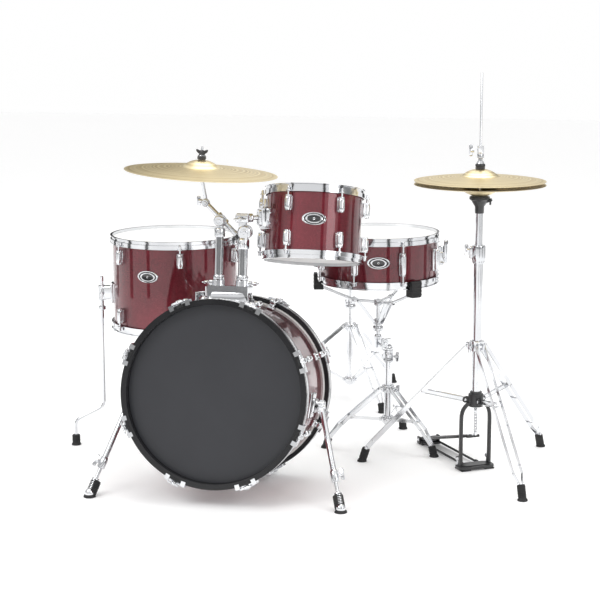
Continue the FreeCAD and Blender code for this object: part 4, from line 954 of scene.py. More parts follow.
def tomHardware():
    joint = postPoint(1, 681) + alongX * (4 * mm)
    post = Piece("tomPostJoint", chrome)
    ratchet(post, joint - alongY * (0.4 * mm), -alongY, 18, 12)
    top = postPoint(1, 662)
    axis = (top - postPoint(1, 500)).normalized()
    post.turn([(12.6, -26), (15.4, -25), (16.2, -23), (16.2, -3), (15.2, 0), (12, 3.5), (6, 5.5), (0, 6)],
              aim(top, axis), 40)
    boltHead(post, top - axis * (12 * mm) - alongY * (15 * mm), -alongY, 3.6, 4)
    post.done("tom_post")

    arm = Piece("tomArmJoint", chrome)
    ratchet(arm, joint + alongY * (0.4 * mm), alongY, 18, 15)
    tom = drums["tom"]["middle"]
    elbow = Vector((kit(28, 0).x, joint.y + 8 * mm, 717 * mm))
    level = Vector((elbow.x - kit(tom[0], 0).x, elbow.y - kit(0, tom[1]).y, 0)).normalized()
    grip = kit(tom[0], tom[1], 717) + level * ((drums["tom"]["radius"] + 20) * mm)
    along = (grip - elbow).normalized()
    arm.box((38, 20, 25), aim(elbow, up, alongX), 6, 4)
    arm.box((22, 16, 40), aim((joint + elbow) / 2 + Vector((-4, 4, 0)) * mm, up, alongX), 4.5, 3)
    arm.turn([(6.1, 16.6), (9, 16.8), (11.2, 18), (11.8, 19.4), (11.8, 25.4), (10.8, 27), (6.1, 27.4)],
             aim(elbow, along),
             32)
    wing(arm, elbow + Vector((-2, -8, 0)) * mm, -alongY, alongX, 14, 12, 1.3)
    boltHead(arm, elbow + along * (22 * mm) - alongY * (11 * mm), -alongY, 3, 3)
    arm.done("tom_arm")

    bracket = Piece("tomBracketShell", chrome)
    frameTurn = aim(Vector((0, 0, 0)), up, level)
    inward = grip - level * (14 * mm)

    def spot(out, side, lift):
        return frameTurn.to_3x3() @ (Vector((out, side, lift)) * mm)

    # shield-shaped housing against the shell, a clamp block in front of it and a ribbed barrel
    rings = []
    for lift, half, reach in ((27, 12, 11), (26, 15.5, 13.5), (20, 17, 14.6), (0, 17, 15), (-18, 17, 14.6),
                              (-26, 15, 12.5),
                              (-34, 9, 8), (-41, 4, 3.5)):
        ring = []
        for n in range(32):
            turn = 2 * math.pi * n / 32
            x = reach * math.copysign(abs(math.cos(turn)) ** 0.45, math.cos(turn))
            y = half * math.copysign(abs(math.sin(turn)) ** 0.45, math.sin(turn))
            ring.append(inward + spot(x, y, lift))
        rings.append(ring)
    bracket.rings([[inward + spot(0, 0, 28)]] + rings + [[inward + spot(0, 0, -43)]])
    bracket.box((22, 26, 42), aim(grip - level * (3 * mm), up, level), 5, 4)
    for n in range(3):
        shift = -13.4 + 7 * n
        bracket.turn([(6.3, shift), (12.4, shift), (13.4, shift + 1.2), (13.4, shift + 4),
                      (12.4, shift + 5.2),
                      (6.3, shift + 5.2)], aim(grip + level * (1 * mm), level), 36)
    wing(bracket, grip + up * (19 * mm) - level * (4 * mm), up, level.cross(up), 12, 10, 1.25)
    for sign in (1, -1):
        boltHead(bracket, inward + spot(-6, 15.5 * sign, 14), spot(0, sign, 0), 3.2, 3)
        boltHead(bracket, inward + spot(-6, 15.5 * sign, -14), spot(0, sign, 0), 3.2, 3)
    bracket.done("rack_tom")


mountCasing()
tomHardware()
print("mount and tom bracket done")

# boom, tilter and what holds the crash cymbal

boom = {"rise": 45, "head": 62, "tail": 66, "radius": 7}


def boomHardware():
    top = postPoint(-1, 688)
    joint = Vector((top.x, kit(0, 40).y, 710 * mm))
    rise = math.radians(boom["rise"])
    along = Vector((-math.cos(rise), 0, math.sin(rise)))
    centre = Vector((joint.x, kit(0, 66).y, joint.z))
    axis = (top - postPoint(-1, 500)).normalized()

    post = Piece("cymbalPostJoint", chrome)
    ratchet(post, joint + alongY * (9.4 * mm), -alongY, 14, 18, 24)
    post.turn([(11.1, -22), (13.8, -21), (14.6, -19), (14.6, -2), (13.4, 1), (8, 3), (0, 3.6)],
              aim(top, axis), 36)
    boltHead(post, top - axis * (10 * mm) - alongY * (13.6 * mm), -alongY, 3.4, 4)
    post.done("cymbal_post")

    clamp = Piece("boomClampShell", chrome)
    ratchet(clamp, joint + alongY * (10.6 * mm), alongY, 14, 10, 24)
    clamp.turn([(7.2, -17), (11, -17), (12.4, -15.6), (12.4, -11), (11.6, -10), (11.6, 10), (12.4, 11),
                (12.4, 15.6),
                (11, 17), (7.2, 17)], aim(centre, along), 36)
    wing(clamp, centre + alongY * (8 * mm), alongY, along, 14, 12.5, 1.25)
    clamp.done("boom_clamp")

    tube = Piece("boomFittings", chrome, plasticFinish)
    head = centre + along * (boom["head"] * mm)
    ratchet(tube, head - alongY * (0.3 * mm), -alongY, 9.4, 9.4, 18)
    tube.turn([(4.2, -10), (7.3, -9.6), (8, -8.6), (8, -2), (6, 0)], aim(head, along), 28)
    tube.use(1)
    tube.turn([(0, -4), (6.4, -3.6), (7.7, -2), (7.7, 9), (7.1, 10)],
              aim(centre - along * (boom["tail"] * mm), along),
              28)
    tube.done("boom")

    crash = cymbals["crash"]
    place = Matrix.Translation(kit(*crash["middle"])) @ Matrix.Rotation(crash["turn"][1], 4, "Y")
    tilter = Piece("tilterFittings", chrome)
    ratchet(tilter, head + alongY * (0.3 * mm), alongY, 9.4, 9.4, 18)
    tilter.turn([(3.1, -18.4), (6, -18.2), (8.8, -16.4), (9.2, -14), (9.2, -8), (7.6, -6), (7, -3.6),
                 (8.6, -1.8),
                 (8.6, 2), (7, 5), (5, 8), (5, 12.6)], place, 32)
    tilter.turn([(3.1, 13.4), (10, 13.4), (13.6, 14.4), (13.8, 15.4), (10, 16), (3.1, 16)], place, 36)
    wing(tilter, head + Vector((-6, 6, 4)) * mm, -alongX, up, 11, 10, 1.2)
    tilter.turn([(3.05, 52), (3.05, 66.6), (2.4, 67.8), (0, 68)], place, 20)
    tilter.done("tilter")

    felts = Piece("crashFelts", feltFinish, chrome, plasticFinish)
    for low in (16.3, 33.5):
        high = low + 11
        felts.turn([(3.2, low), (9.6, low), (11.4, low + 1.4), (11.9, low + 4), (11.9, high - 4),
                    (11.3, high - 1.4),
                    (9.6, high), (3.2, high)], place, 44, closed=True)
    felts.use(1)
    felts.turn([(3.2, 44.6), (9.4, 44.6), (9.8, 45.2), (9.4, 46), (3.2, 46)], place, 36, closed=True)
    felts.use(2)
    felts.turn([(3.2, 46.1), (7.4, 46.1), (8, 47.4), (7, 52), (6, 57.2), (5, 58.6), (3.2, 58.8)], place, 32,
               closed=True)
    flat = place @ Matrix.Translation(Vector((0, 0, 54)) * mm) @ Matrix.Rotation(math.pi / 2, 4, "X")
    for side in (1, -1):
        felts.plate([(side * x, y) for x, y in ((5, -6), (11, -3.5), (15.2, 1), (16.4, 5.2), (14, 7.4),
                                                (9.5, 5.4),
                                                (5, 3.6))], 3.8, flat, 1.3)
    felts.done("tilter", ["crash_felts"])


boomHardware()
print("boom and tilter done")

# hi-hat: clutch, rod, chain, frame, pedal and legs

hat = {"x": 626.2, "y": 301.6, "pedal": 123.6, "crown": 834, "rodTop": 1092, "rod": 3, "first": -61.3,
       "reach": 319,
       "collar": 349, "hub": 196, "tube": 12.4, "brace": 146, "heel": 288, "toe": 4, "toeHeight": 92,
       "board": 66}
hatAxis = Matrix.Translation(kit(hat["x"], hat["y"]))
hatPedal = polar(hat["pedal"], 1) / mm
hatAcross = polar(hat["pedal"] + 90, 1) / mm


def hatPoint(along, across, height):
    return hatAxis.translation + (hatPedal * along + hatAcross * across + up * height) * mm


def hatClutch():
    piece = Piece("hiHatClutch", chrome, feltFinish, plasticFinish)
    crown = hat["crown"]
    place = hatAxis @ Matrix.Translation(up * (crown * mm))
    thread = [(3.15, -12.5)]
    for n in range(34):
        thread += [(5.3, -12 + 1.3 * n), (5.9, -11.4 + 1.3 * n)]
    thread += [(5.3, 32.4), (3.15, 32.4)]
    piece.turn(thread, place, 20, closed=True)
    piece.turn([(5.4, -12.6), (8.6, -12.6), (9.6, -11.4), (9.6, -7.6), (8.6, -6.5), (5.4, -6.5)], place, 12,
               closed=True)
    piece.turn([(3.15, 30), (8, 30), (9, 31), (9, 40), (8.6, 41), (8.6, 43), (9, 44), (9, 61), (8, 62.4),
                (3.15, 62.4)],
               place, 36, closed=True)
    piece.turn([(5.4, 14.4), (10.4, 14.4), (11, 15.4), (9.4, 19), (7.4, 22.6), (5.4, 23)], place, 32,
               closed=True)
    root = place @ (Vector((-8, 0, 50)) * mm)
    wing(piece, root, -alongX, up, 15, 12, 1.25)
    piece.use(1)
    piece.turn([(5.4, -6.3), (10.6, -6.2), (11.6, -4.8), (11.4, -2), (10.4, -1.3), (5.4, -1.3)], place, 40,
               closed=True)
    piece.turn([(5.4, 0.2), (11.8, 0.2), (13, 1.4), (13.2, 4), (12.6, 6), (11.6, 6.5), (5.4, 6.5)], place, 40,
               closed=True)
    piece.use(2)
    piece.turn([(5.4, 6.7), (12.6, 6.7), (13.4, 7.8), (13.4, 12.6), (12.6, 14), (5.4, 14.2)], place, 24,
               closed=True)
    piece.done("hihat_top", ["hihat_clutch"])


def hatRod():
    piece = Piece("hiHatRodAndChain", chrome, blackPaintFinish)
    top = hat["rodTop"]
    piece.turn([(0, 166), (3, 166), (3, top - 1.4), (2.4, top - 0.3), (0, top)], hatAxis, 20)
    piece.turn([(3, 159), (4.6, 159), (5.4, 160), (5.4, 171), (4.6, 172.4), (3, 172.6)], hatAxis, 6)
    links, high, low = 7, 160.0, 104.0
    pitch = (high - low) / links
    for n in range(links + 1):
        centre = hatPoint(0, 0, high - pitch * n)
        piece.use(0)
        piece.bar(2.5, centre - hatAcross * (2.1 * mm), centre + hatAcross * (2.1 * mm), 16)
        piece.bar(1.2, centre - hatAcross * (4.2 * mm), centre + hatAcross * (4.2 * mm), 12)
        if n == links:
            continue
        piece.use(n % 2)
        half = 3.6 if n % 2 else 2.7
        outline = []
        for k in range(20):
            turn = 2 * math.pi * k / 20
            reach = pitch / 2 if math.sin(turn) >= 0 else -pitch / 2
            waist = 3.1 - 0.7 * (1 - abs(math.sin(turn)))
            outline.append((waist * math.cos(turn), reach + 3.0 * math.sin(turn)))
        middleOf = hatPoint(0, 0, high - pitch * (n + 0.5))
        for sign in (1, -1):
            place = aim(middleOf + hatAcross * (half * sign * mm), hatAcross, hatPedal)
            piece.plate(outline, 0.9, place, 0.2)
    piece.use(0)
    piece.box((9, 7, 12), aim(hatPoint(0, 0, 101), up, hatPedal), 1.5)
    piece.done("hihat_rod", ["hihat_rod"])


def hatFrame():
    # Hub with brace ears, bowed arch, base plate, heel rods and floor spikes
    piece = Piece("hiHatFrame", blackPaintFinish, chrome, blackRubberFinish)
    hub, inner = hat["hub"], hat["tube"] + 0.1
    piece.turn([(inner, hub - 4), (inner, hub + 25), (15.4, hub + 25), (16.6, hub + 24), (16.6, hub + 19),
                (20.4, hub + 17.4), (21, hub + 16), (21, hub - 15), (20, hub - 17.6), (16, hub - 18.4),
                (6, hub - 18.4),
                (6, hub - 4)], hatAxis, 44, closed=True)
    for n in range(3):
        turn = hat["first"] + 120 * n
        out, side = polar(turn, 1) / mm, polar(turn + 90, 1) / mm
        for sign in (1, -1):
            place = aim(hatAxis.translation + out * (27 * mm) + up * (hub * mm) + side * (5.3 * sign * mm),
                        side, out)
            piece.plate([(-12, -8.4), (4, -8.4), (8, -5.4), (9.4, 0), (8, 5.4), (4, 8.4), (-12, 8.4)], 3.4,
                        place, 0.7)
            piece.use(1)
            rivet(piece, hatAxis.translation + out * (27.5 * mm) + up * (hub * mm) + side * (7 * sign * mm),
                  side * sign,
                  4, 2)
            piece.use(0)
    arch = []
    for n in range(9):
        arch.append(hatPoint(0, 44, 8 + 16.5 * n))
    for n in range(1, 8):
        turn = math.pi / 2 * n / 7
        arch.append(hatPoint(0, 44 - 30 * (1 - math.cos(turn)), 146 + 42 * math.sin(turn)))
    arch += [hatPoint(0, 6, 190)]
    for sign in (1, -1):
        side = arch
        if sign < 0:
            side = [p - hatAcross * (2 * (p - hatAxis.translation).dot(hatAcross)) for p in arch]
        rings = []
        for n, point in enumerate(side):
            before, after = side[max(n - 1, 0)], side[min(n + 1, len(side) - 1)]
            along = (after - before).normalized()
            flat = along.cross(hatPedal).normalized()
            ring = []
            for k in range(16):
                turn = 2 * math.pi * k / 16
                x = 6.4 * math.copysign(abs(math.cos(turn)) ** 0.5, math.cos(turn))
                y = 4.3 * math.copysign(abs(math.sin(turn)) ** 0.5, math.sin(turn))
                ring.append(point + (hatPedal * x + flat * y) * mm)
            rings.append(ring)
        piece.rings([[side[0]]] + rings + [[side[-1]]])
    base = []
    for n in range(40):
        turn = 2 * math.pi * n / 40
        base.append((24 * math.copysign(abs(math.cos(turn)) ** 0.45, math.cos(turn)),
                     54 * math.copysign(abs(math.sin(turn)) ** 0.45, math.sin(turn))))
    flat = aim(hatPoint(0, 0, 8), up, hatPedal)
    piece.plate(base, 8, flat, 1.6)
    piece.plate([(x * 0.72, y * 0.82) for x, y in base], 2.4, aim(hatPoint(2, 0, 12.6), up, hatPedal), 0.9)
    heel = hat["heel"]
    for sign in (1, -1):
        piece.bar(3.3, hatPoint(-6, 24 * sign, 8), hatPoint(heel - 10, 24 * sign, 8), 16)
        piece.turn([(3.3, 0), (5.4, 0.6), (5.8, 2), (5.8, 9), (3.3, 10)], aim(hatPoint(30, 24 * sign, 8),
                                                                              hatPedal), 20)
        piece.box((18, 5, 23), aim(hatPoint(heel, 31 * sign, 12.5), up, hatPedal), 2)
        piece.use(1)
        piece.turn([(0, 0.8), (1.6, 1.4), (3.9, 6), (3.9, 26), (4.2, 26.4), (6.2, 26.8), (7.2, 28),
                    (7.2, 33.4), (6, 35),
                    (0, 35.2)], Matrix.Translation(hatPoint(12, 46 * sign, 0)), 24)
        rivet(piece, hatPoint(heel, 33.4 * sign, 15), hatAcross * sign, 4.6, 2)
        piece.use(2)
        piece.box((45, 29, 4), aim(hatPoint(0, 36 * sign, 2.05), up, hatPedal), 1.2)
        piece.use(0)
    outline = [(-20, -31), (14, -31), (20, -24), (22, 0), (20, 24), (14, 31), (-20, 31)]
    piece.plate(outline, 5, aim(hatPoint(heel, 0, 5.1), up, hatPedal), 1.4)
    piece.use(2)
    piece.plate([(x * 0.94, y * 0.94) for x, y in outline], 2.6, aim(hatPoint(heel, 0, 1.35), up, hatPedal),
                0.6)
    piece.done("stands", ["hihat_frame"])


def treadle(piece, heel, toe, width, short):
    # Board with a rounded toe, a raised rim and long ribs
    along = (toe - heel).normalized()
    across = along.cross(up).normalized()
    face = across.cross(along).normalized()
    long = (toe - heel).length / mm
    middleOf = (toe + heel) / 2
    flat = aim(middleOf, face, along)
    half, end = width / 2, long / 2 - short
    outline = [(-end, -half * 0.84), (-end + 26, -half), (end - 60, -half), (end - 16, -half * 0.72),
               (end - 3, -half * 0.4),
               (end, 0), (end - 3, half * 0.4), (end - 16, half * 0.72), (end - 60, half), (-end + 26, half),
               (-end, half * 0.84)]
    piece.plate(outline, 4.6, flat, 1.2)
    lifted = aim(middleOf + face * (2.9 * mm), face, along)
    points = [lifted @ (Vector((x * 0.985, y * 0.94, 0)) * mm) for x, y in outline]
    piece.sweep(points, 1.5, 8, closed=True)
    for n in range(-3, 4):
        reach = end - 26 - abs(n) * 7
        centre = middleOf + face * (2.7 * mm) + across * (n * width * 0.118 * mm)
        centre = centre + along * ((reach - end + 30) / 2 * mm)
        piece.box((reach + end - 30, 2.6, 2.2), aim(centre, face, along), 0.7)
    for n in range(7):
        centre = middleOf + face * (2.6 * mm) + along * ((-end + 40 + n * 26) * mm)
        piece.box((2.4, width * 0.8, 2.0), aim(centre, face, along), 0.6)
    return along, across, face


def hatFootboard():
    piece = Piece("hiHatFootboard", blackPaintFinish, chrome)
    heel, toe = hatPoint(hat["heel"], 0, 15), hatPoint(hat["toe"], 0, hat["toeHeight"])
    along, across, face = treadle(piece, heel, toe, hat["board"], 9)
    piece.turn([(0, -28), (5.6, -28), (6.6, -26.8), (6.6, 26.8), (5.6, 28), (0, 28)], aim(heel, across), 28)
    piece.box((26, 52, 8), aim(heel + along * (13 * mm), face, along), 2)
    piece.box((26, 31, 8.4), aim(toe - along * (10 * mm), face, along), 2.2)
    piece.use(1)
    piece.bar(3, heel - across * (34.6 * mm), heel + across * (34.6 * mm), 20)
    for sign in (1, -1):
        boltHead(piece, toe - along * (14 * mm) + across * (10 * sign * mm) + face * (4 * mm), face, 3.2, 3)
    piece.bar(2.2, toe - across * (9 * mm) + up * (4 * mm), toe + across * (9 * mm) + up * (4 * mm), 14)
    piece.done("hihat_footboard", ["hihat_footboard"])


def hatLegs():
    for n, name in enumerate(("front", "rear", "side")):
        turn = hat["first"] + 120 * n
        out, side = polar(turn, 1) / mm, polar(turn + 90, 1) / mm
        base = hatAxis.translation
        hip = base + out * (23 * mm) + up * (hat["collar"] * mm)
        shoe = base + out * (hat["reach"] * mm)
        ankle = base + out * ((hat["reach"] - 12) * mm) + up * (38 * mm)
        bend = ankle - out * (22 * mm) + up * (26 * mm)
        piece = Piece("hiHatLeg" + name.capitalize(), chrome, blackRubberFinish)
        legRails(piece, hip, bend, ankle, side, 25, 12, 0.3)
        slope = (ankle - hip)
        knee = hip + slope * ((hat["brace"] - 23) / (hat["reach"] - 12 - 23))
        for sign in (1, -1):
            rivet(piece, knee + side * (13.8 * sign * mm), side * sign, 4.6, 2.2)
        for share in (0.58, 0.86):
            spot = hip + slope * share
            piece.bar(2.2, spot - side * (11 * mm), spot + side * (11 * mm), 14)
        piece.use(1)
        rubberFoot(piece, shoe, ankle, 13.6, 42)
        piece.done("hihat_leg_" + name)
        brace = Piece("hiHatBrace" + name.capitalize(), chrome)
        inner = base + out * (27.5 * mm) + up * (hat["hub"] * mm)
        railLips(brace, inner, knee, side, 12, 2.6)
        brace.done("hihat_brace_" + name)


def hatCollars():
    lower = Piece("hiHatTubeClamp", chrome, plasticFinish)
    lower.turn([(12.5, 577), (15.4, 577.6), (18.2, 590), (18.6, 596), (18.6, 622), (17.6, 626.4),
                (13.4, 627.6),
                (9.6, 627.6)], hatAxis, 44)
    lower.box((13, 17, 34), aim(hatAxis.translation + Vector((-18, 0, 607)) * mm, up, alongX), 3.5, 3)
    wing(lower, hatAxis.translation + Vector((-15, 0, 612)) * mm, -alongX, up, 15, 13, 1.25)
    boltHead(lower, hatAxis.translation + Vector((-18, -8, 598)) * mm, -alongY, 3.4, 3.4)
    lower.done("stands")
    collar = Piece("hiHatLegCollar", chrome)
    collar.turn([(12.6, 334.6), (18.6, 334.6), (20.2, 336.2), (20.2, 342), (19.2, 343.4), (19.2, 354.6),
                 (20.2, 356),
                 (20.2, 361.8), (18.6, 363.4), (12.6, 363.4)], hatAxis, 44, closed=True)
    wing(collar, hatAxis.translation + polar(240, 18, 349), polar(240, 1), up, 13, 12, 1.25)
    collar.done("hihat_collar")
    cup = Piece("hiHatSeatTrim", plasticFinish, feltFinish)
    cup.turn([(3.6, 763), (5.2, 762), (5.4, 760.4), (24, 760), (27.4, 759), (27.8, 757), (27.8, 753),
              (26.4, 751.4),
              (23, 750), (16, 738), (12.6, 733), (12.2, 716), (11.4, 714.6), (9.8, 714.6)], hatAxis, 48)
    cup.bar(2.6, hatAxis.translation + Vector((10, 0, 742)) * mm, hatAxis.translation + Vector((27, 0,
                                                                                                748)) * mm,
            14)
    cup.box((5, 9, 17), aim(hatAxis.translation + Vector((29, 0, 746)) * mm, up, alongX), 2)
    cup.use(1)
    cup.turn([(5.6, 760.2), (22, 760.2), (23.4, 760.8), (22, 761.3), (5.6, 761.3)], hatAxis, 44, closed=True)
    cup.done("hihat_upper")


hatClutch()
hatRod()
hatFrame()
hatFootboard()
hatLegs()
hatCollars()
print("hi-hat done")

# spurs, with black tips, T-bolts and ratchets

spur = {"foot": (334.6, -173.6), "angle": -7, "reach": 261, "height": 38}


def spurFittings():
    for side, name in ((1, "right"), (-1, "left")):
        angle = spur["angle"] if side > 0 else 180 - spur["angle"]
        pivot = bassPlace @ polar(angle, spur["reach"], spur["height"])
        axis = (bassPlace.to_3x3() @ polar(angle, 1)).normalized()
        foot = kit(side * spur["foot"][0], spur["foot"][1])
        along = (foot + up * (8 * mm) - pivot).normalized()
        long = (foot + up * (8 * mm) - pivot).length / mm
        piece = Piece(name + "SpurFittings", chrome, blackRubberFinish)
        ratchet(piece, pivot - axis * (7.6 * mm), axis, 17, 15)
        sleeve = aim(pivot, along)
        piece.turn([(7.6, long * 0.62), (9.6, long * 0.63), (10.4, long * 0.645), (10.4, long * 0.725),
                    (9.4, long * 0.735),
                    (5.2, long * 0.74)], sleeve, 28)
        wing(piece, pivot + along * (long * 0.69 * mm), (side, 0.25, 0.45), along, 18, 12, 1.3)
        piece.box((15, 13, 15), aim(pivot + along * (long * 0.69 * mm), along, Vector((side, 0.25, 0.45))),
                  3, 3)
        piece.turn([(5.1, long - 44), (9.6, long - 44), (10.2, long - 43), (10.2, long - 40),
                    (5.1, long - 39)], sleeve, 28)
        piece.use(1)
        rubberFoot(piece, foot, pivot, 16.4, 46)
        piece.done(name + "_spur")
        bracket = Piece(name + "SpurBracket", chrome)
        seat = bassPlace @ polar(angle, bass["radius"], spur["height"])
        forward = (bassPlace.to_3x3() @ up).normalized()
        tangent = axis.cross(forward).normalized()
        bracket.box((7, 66, 47), aim(seat + axis * (4 * mm), forward, axis), 3, 3)
        bracket.box((20, 38, 37), aim(seat + axis * (8 * mm), forward, axis), 6, 4)
        bracket.turn([(0, 21), (15.2, 21), (16.4, 20), (16.6, 13), (15, 11)], aim(seat, axis), 36)
        for sign in (1, -1):
            boltHead(bracket, seat + axis * (7 * mm) + tangent * (26 * sign * mm), axis, 3.8, 3)
        bracket.done("stands")


spurFittings()
print("spurs done")

# kick pedal

kick = {"axle": (0, 180, 158), "heel": (0, 434, 18), "toe": (0, 156, 88), "board": 62, "back": 38,
        "shaft": 150}


def paleFelt():
    p = Paint("paleFelt")
    fibre = p.noise(700, 5, roughness=0.7)
    return p.finish(Base_Color=p.mix(fibre, (0.52, 0.50, 0.46), (0.80, 0.78, 0.74)), Roughness=0.95,
                    Sheen_Weight=0.5,
                    Sheen_Roughness=0.5, Normal=p.bump(fibre, 0.0008, 0.8))


def kickPedal():
    axle, heel, toe = kit(*kick["axle"]), kit(*kick["heel"]), kit(*kick["toe"])
    board = Piece("kickFootboard", finishes["cast_alloy"], chrome)
    across, face = treadle(board, heel, toe, kick["board"], 1)[1:]
    board.turn([(0, -29), (5.6, -29), (6.7, -27.6), (6.7, 27.6), (5.6, 29), (0, 29)], aim(heel, across), 28)
    board.use(1)
    board.bar(3, heel - alongX * (39 * mm), heel + alongX * (39 * mm), 20)
    high = axle - alongY * (22 * mm)
    low = toe + up * (5 * mm)
    for n in range(9):
        spot = low + (high - low) * (n / 8)
        board.bar(2.4, spot - alongX * (4.4 * mm), spot + alongX * (4.4 * mm), 14)
        if n < 8:
            mid = low + (high - low) * ((n + 0.5) / 8)
            for shift in ((-3.2, 3.2) if n % 2 else (-4.4, 4.4)):
                board.box((1.0, 5.2, 12), aim(mid + alongX * (shift * mm), high - low, alongX), 0.4)
    board.box((24, 17, 8.4), aim(toe + Vector((0, 5, 3)) * mm, up, alongX), 2)
    board.done("kick_footboard", ["kick_footboard"])

    back = math.radians(kick["back"])
    swing = Vector((0, math.sin(back), math.cos(back)))
    knob = axle + swing * (kick["shaft"] * mm)
    strike = swing.cross(alongX)
    beater = Piece("kickBeater", chrome, paleFelt(), plasticFinish)
    beater.bar(5, axle - alongX * (45 * mm), axle + alongX * (45 * mm), 28)
    hub = aim(axle, alongX)
    beater.turn([(5, -16), (9.6, -16), (10.4, -15), (10.4, -6), (19, -5.6), (22.4, -5), (22.4, -3.4),
                 (20, -3), (20, 3),
                 (22.4, 3.4), (22.4, 5), (19, 5.6), (10.4, 6), (10.4, 15), (9.6, 16), (5, 16)], hub, 44,
                closed=True)
    beater.bar(3.2, axle - swing * (30 * mm), knob, 18)
    boltHead(beater, axle - swing * (4 * mm) + strike * (9 * mm), strike, 3.4, 5)
    face = aim(knob, strike)
    beater.use(1)
    beater.turn([(0, 17.4), (10, 17.2), (18, 16), (21.4, 13.6), (22.4, 10), (22.4, -10), (21.4, -13),
                 (17, -14.6),
                 (7, -15)], face, 44)
    beater.use(2)
    beater.turn([(7, -15), (12, -15.4), (12.6, -16.6), (11.6, -17.6), (0, -18)], face, 36)
    beater.done("kick_beater", ["kick_beater"])

    frameTrim = Piece("kickFrameTrim", blackPaintFinish, chrome)
    for side in (-1, 1):
        post = kit(40 * side, kick["axle"][1], 0)
        frameTrim.box((12, 29, 24), aim(post + up * (kick["axle"][2] * mm), up, alongX), 4, 3)
        frameTrim.box((12, 32, 12), aim(post + up * (10 * mm), up, alongX), 3)
        frameTrim.use(1)
        frameTrim.turn([(5.1, 0), (9, 0.2), (9.6, 1), (9.6, 2.4), (5.1, 3)],
                       aim(post + Vector((6 * side, 0, kick["axle"][2])) * mm, alongX * side), 28)
        frameTrim.use(0)
    for y in (-24, 0, 24, 48, 72):
        frameTrim.box((60, 5, 1.2), aim(kit(0, kick["axle"][1] + 90 + y, 4.4), up, alongX), 0.4)
    frameTrim.done("stands")


kickPedal()
print("kick pedal done")

# throne seat: firm round pad with a piped seam

seat = {"middle": (137, 1085), "low": 440.4, "high": 514, "radius": 149.6, "seam": 489, "tucks": 28}


def throneSeat():
    place = Matrix.Translation(kit(*seat["middle"]))
    low, high, radius = seat["low"], seat["high"], seat["radius"]
    outline = [(60, low), (132, low + 0.4), (142, low + 3), (147.5, low + 9)]
    for n in range(1, 9):
        share = n / 9
        outline.append((147.8 + 1.7 * math.sin(math.pi * share), low + 9 + (seat["seam"] - low - 10) * share))
    outline.append((147.4, seat["seam"] - 0.6))
    outline.append((146.9, seat["seam"] + 1.0))
    for n in range(1, 13):
        share = n / 12
        outline.append((146.9 * (1 - share) ** 0.92 + 0.0, seat["seam"] + 1 + (high - seat["seam"] - 1)
                        * (1 - (1 - share) ** 2.3)))
    outline[-1] = (3, high)
    piece = Piece("throneSeatPad", finishes["black_vinyl"])
    steps = 168
    rings = [[place @ (up * (low * mm))]]
    for reach, height in outline:
        ring = []
        for n in range(steps):
            angle = 360 * n / steps
            pull = math.cos(math.radians(angle) * seat["tucks"])
            near = math.exp(-((height - seat["seam"]) / 9) ** 2) if reach > 120 else 0
            edge = math.exp(-((height - low) / 12) ** 2) if reach > 120 else 0
            sag = 0.5 * math.sin(math.radians(angle) * 3 + 0.6) * (reach / radius)
            ring.append(place @ polar(angle, reach - (0.5 + 0.5 * pull) * (1.1 * near + 1.4 * edge),
                                      height + sag * (height > seat["seam"])))
        rings.append(ring)
    rings.append([place @ (up * (high * mm))])
    piece.rings(rings)
    pad = piece.done("seat", ["throne_seat"], 60)

    trim = Piece("throneSeatPiping", finishes["black_vinyl"], blackPaintFinish)
    for height, reach, thick in ((seat["seam"], 147.6, 2.1), (low + 6, 145.2, 1.7)):
        trim.sweep([place @ polar(3 * n, reach, height) for n in range(120)], thick, 12, closed=True)
    for n in range(150):
        first, last = (place @ polar(2.4 * n + turn, 147.0, seat["seam"] - 3.6) for turn in (0, 1.3))
        trim.capsule(0.55, first, last, 6)
    trim.use(1)
    trim.turn([(10.2, 405), (17, 405), (18.2, 406.4), (18.2, 430), (26, 435.4), (60, 438), (60, 440)],
              place, 44)
    for n in range(4):
        boltHead(trim, place @ polar(45 + 90 * n, 62, 437.8), -up, 4, 3)
    trim.done("seat")


throneSeat()
print("throne seat done")

# snare wires, strainer and stand joint

strainer = {"turn": 8.9, "wires": 16, "span": 272}


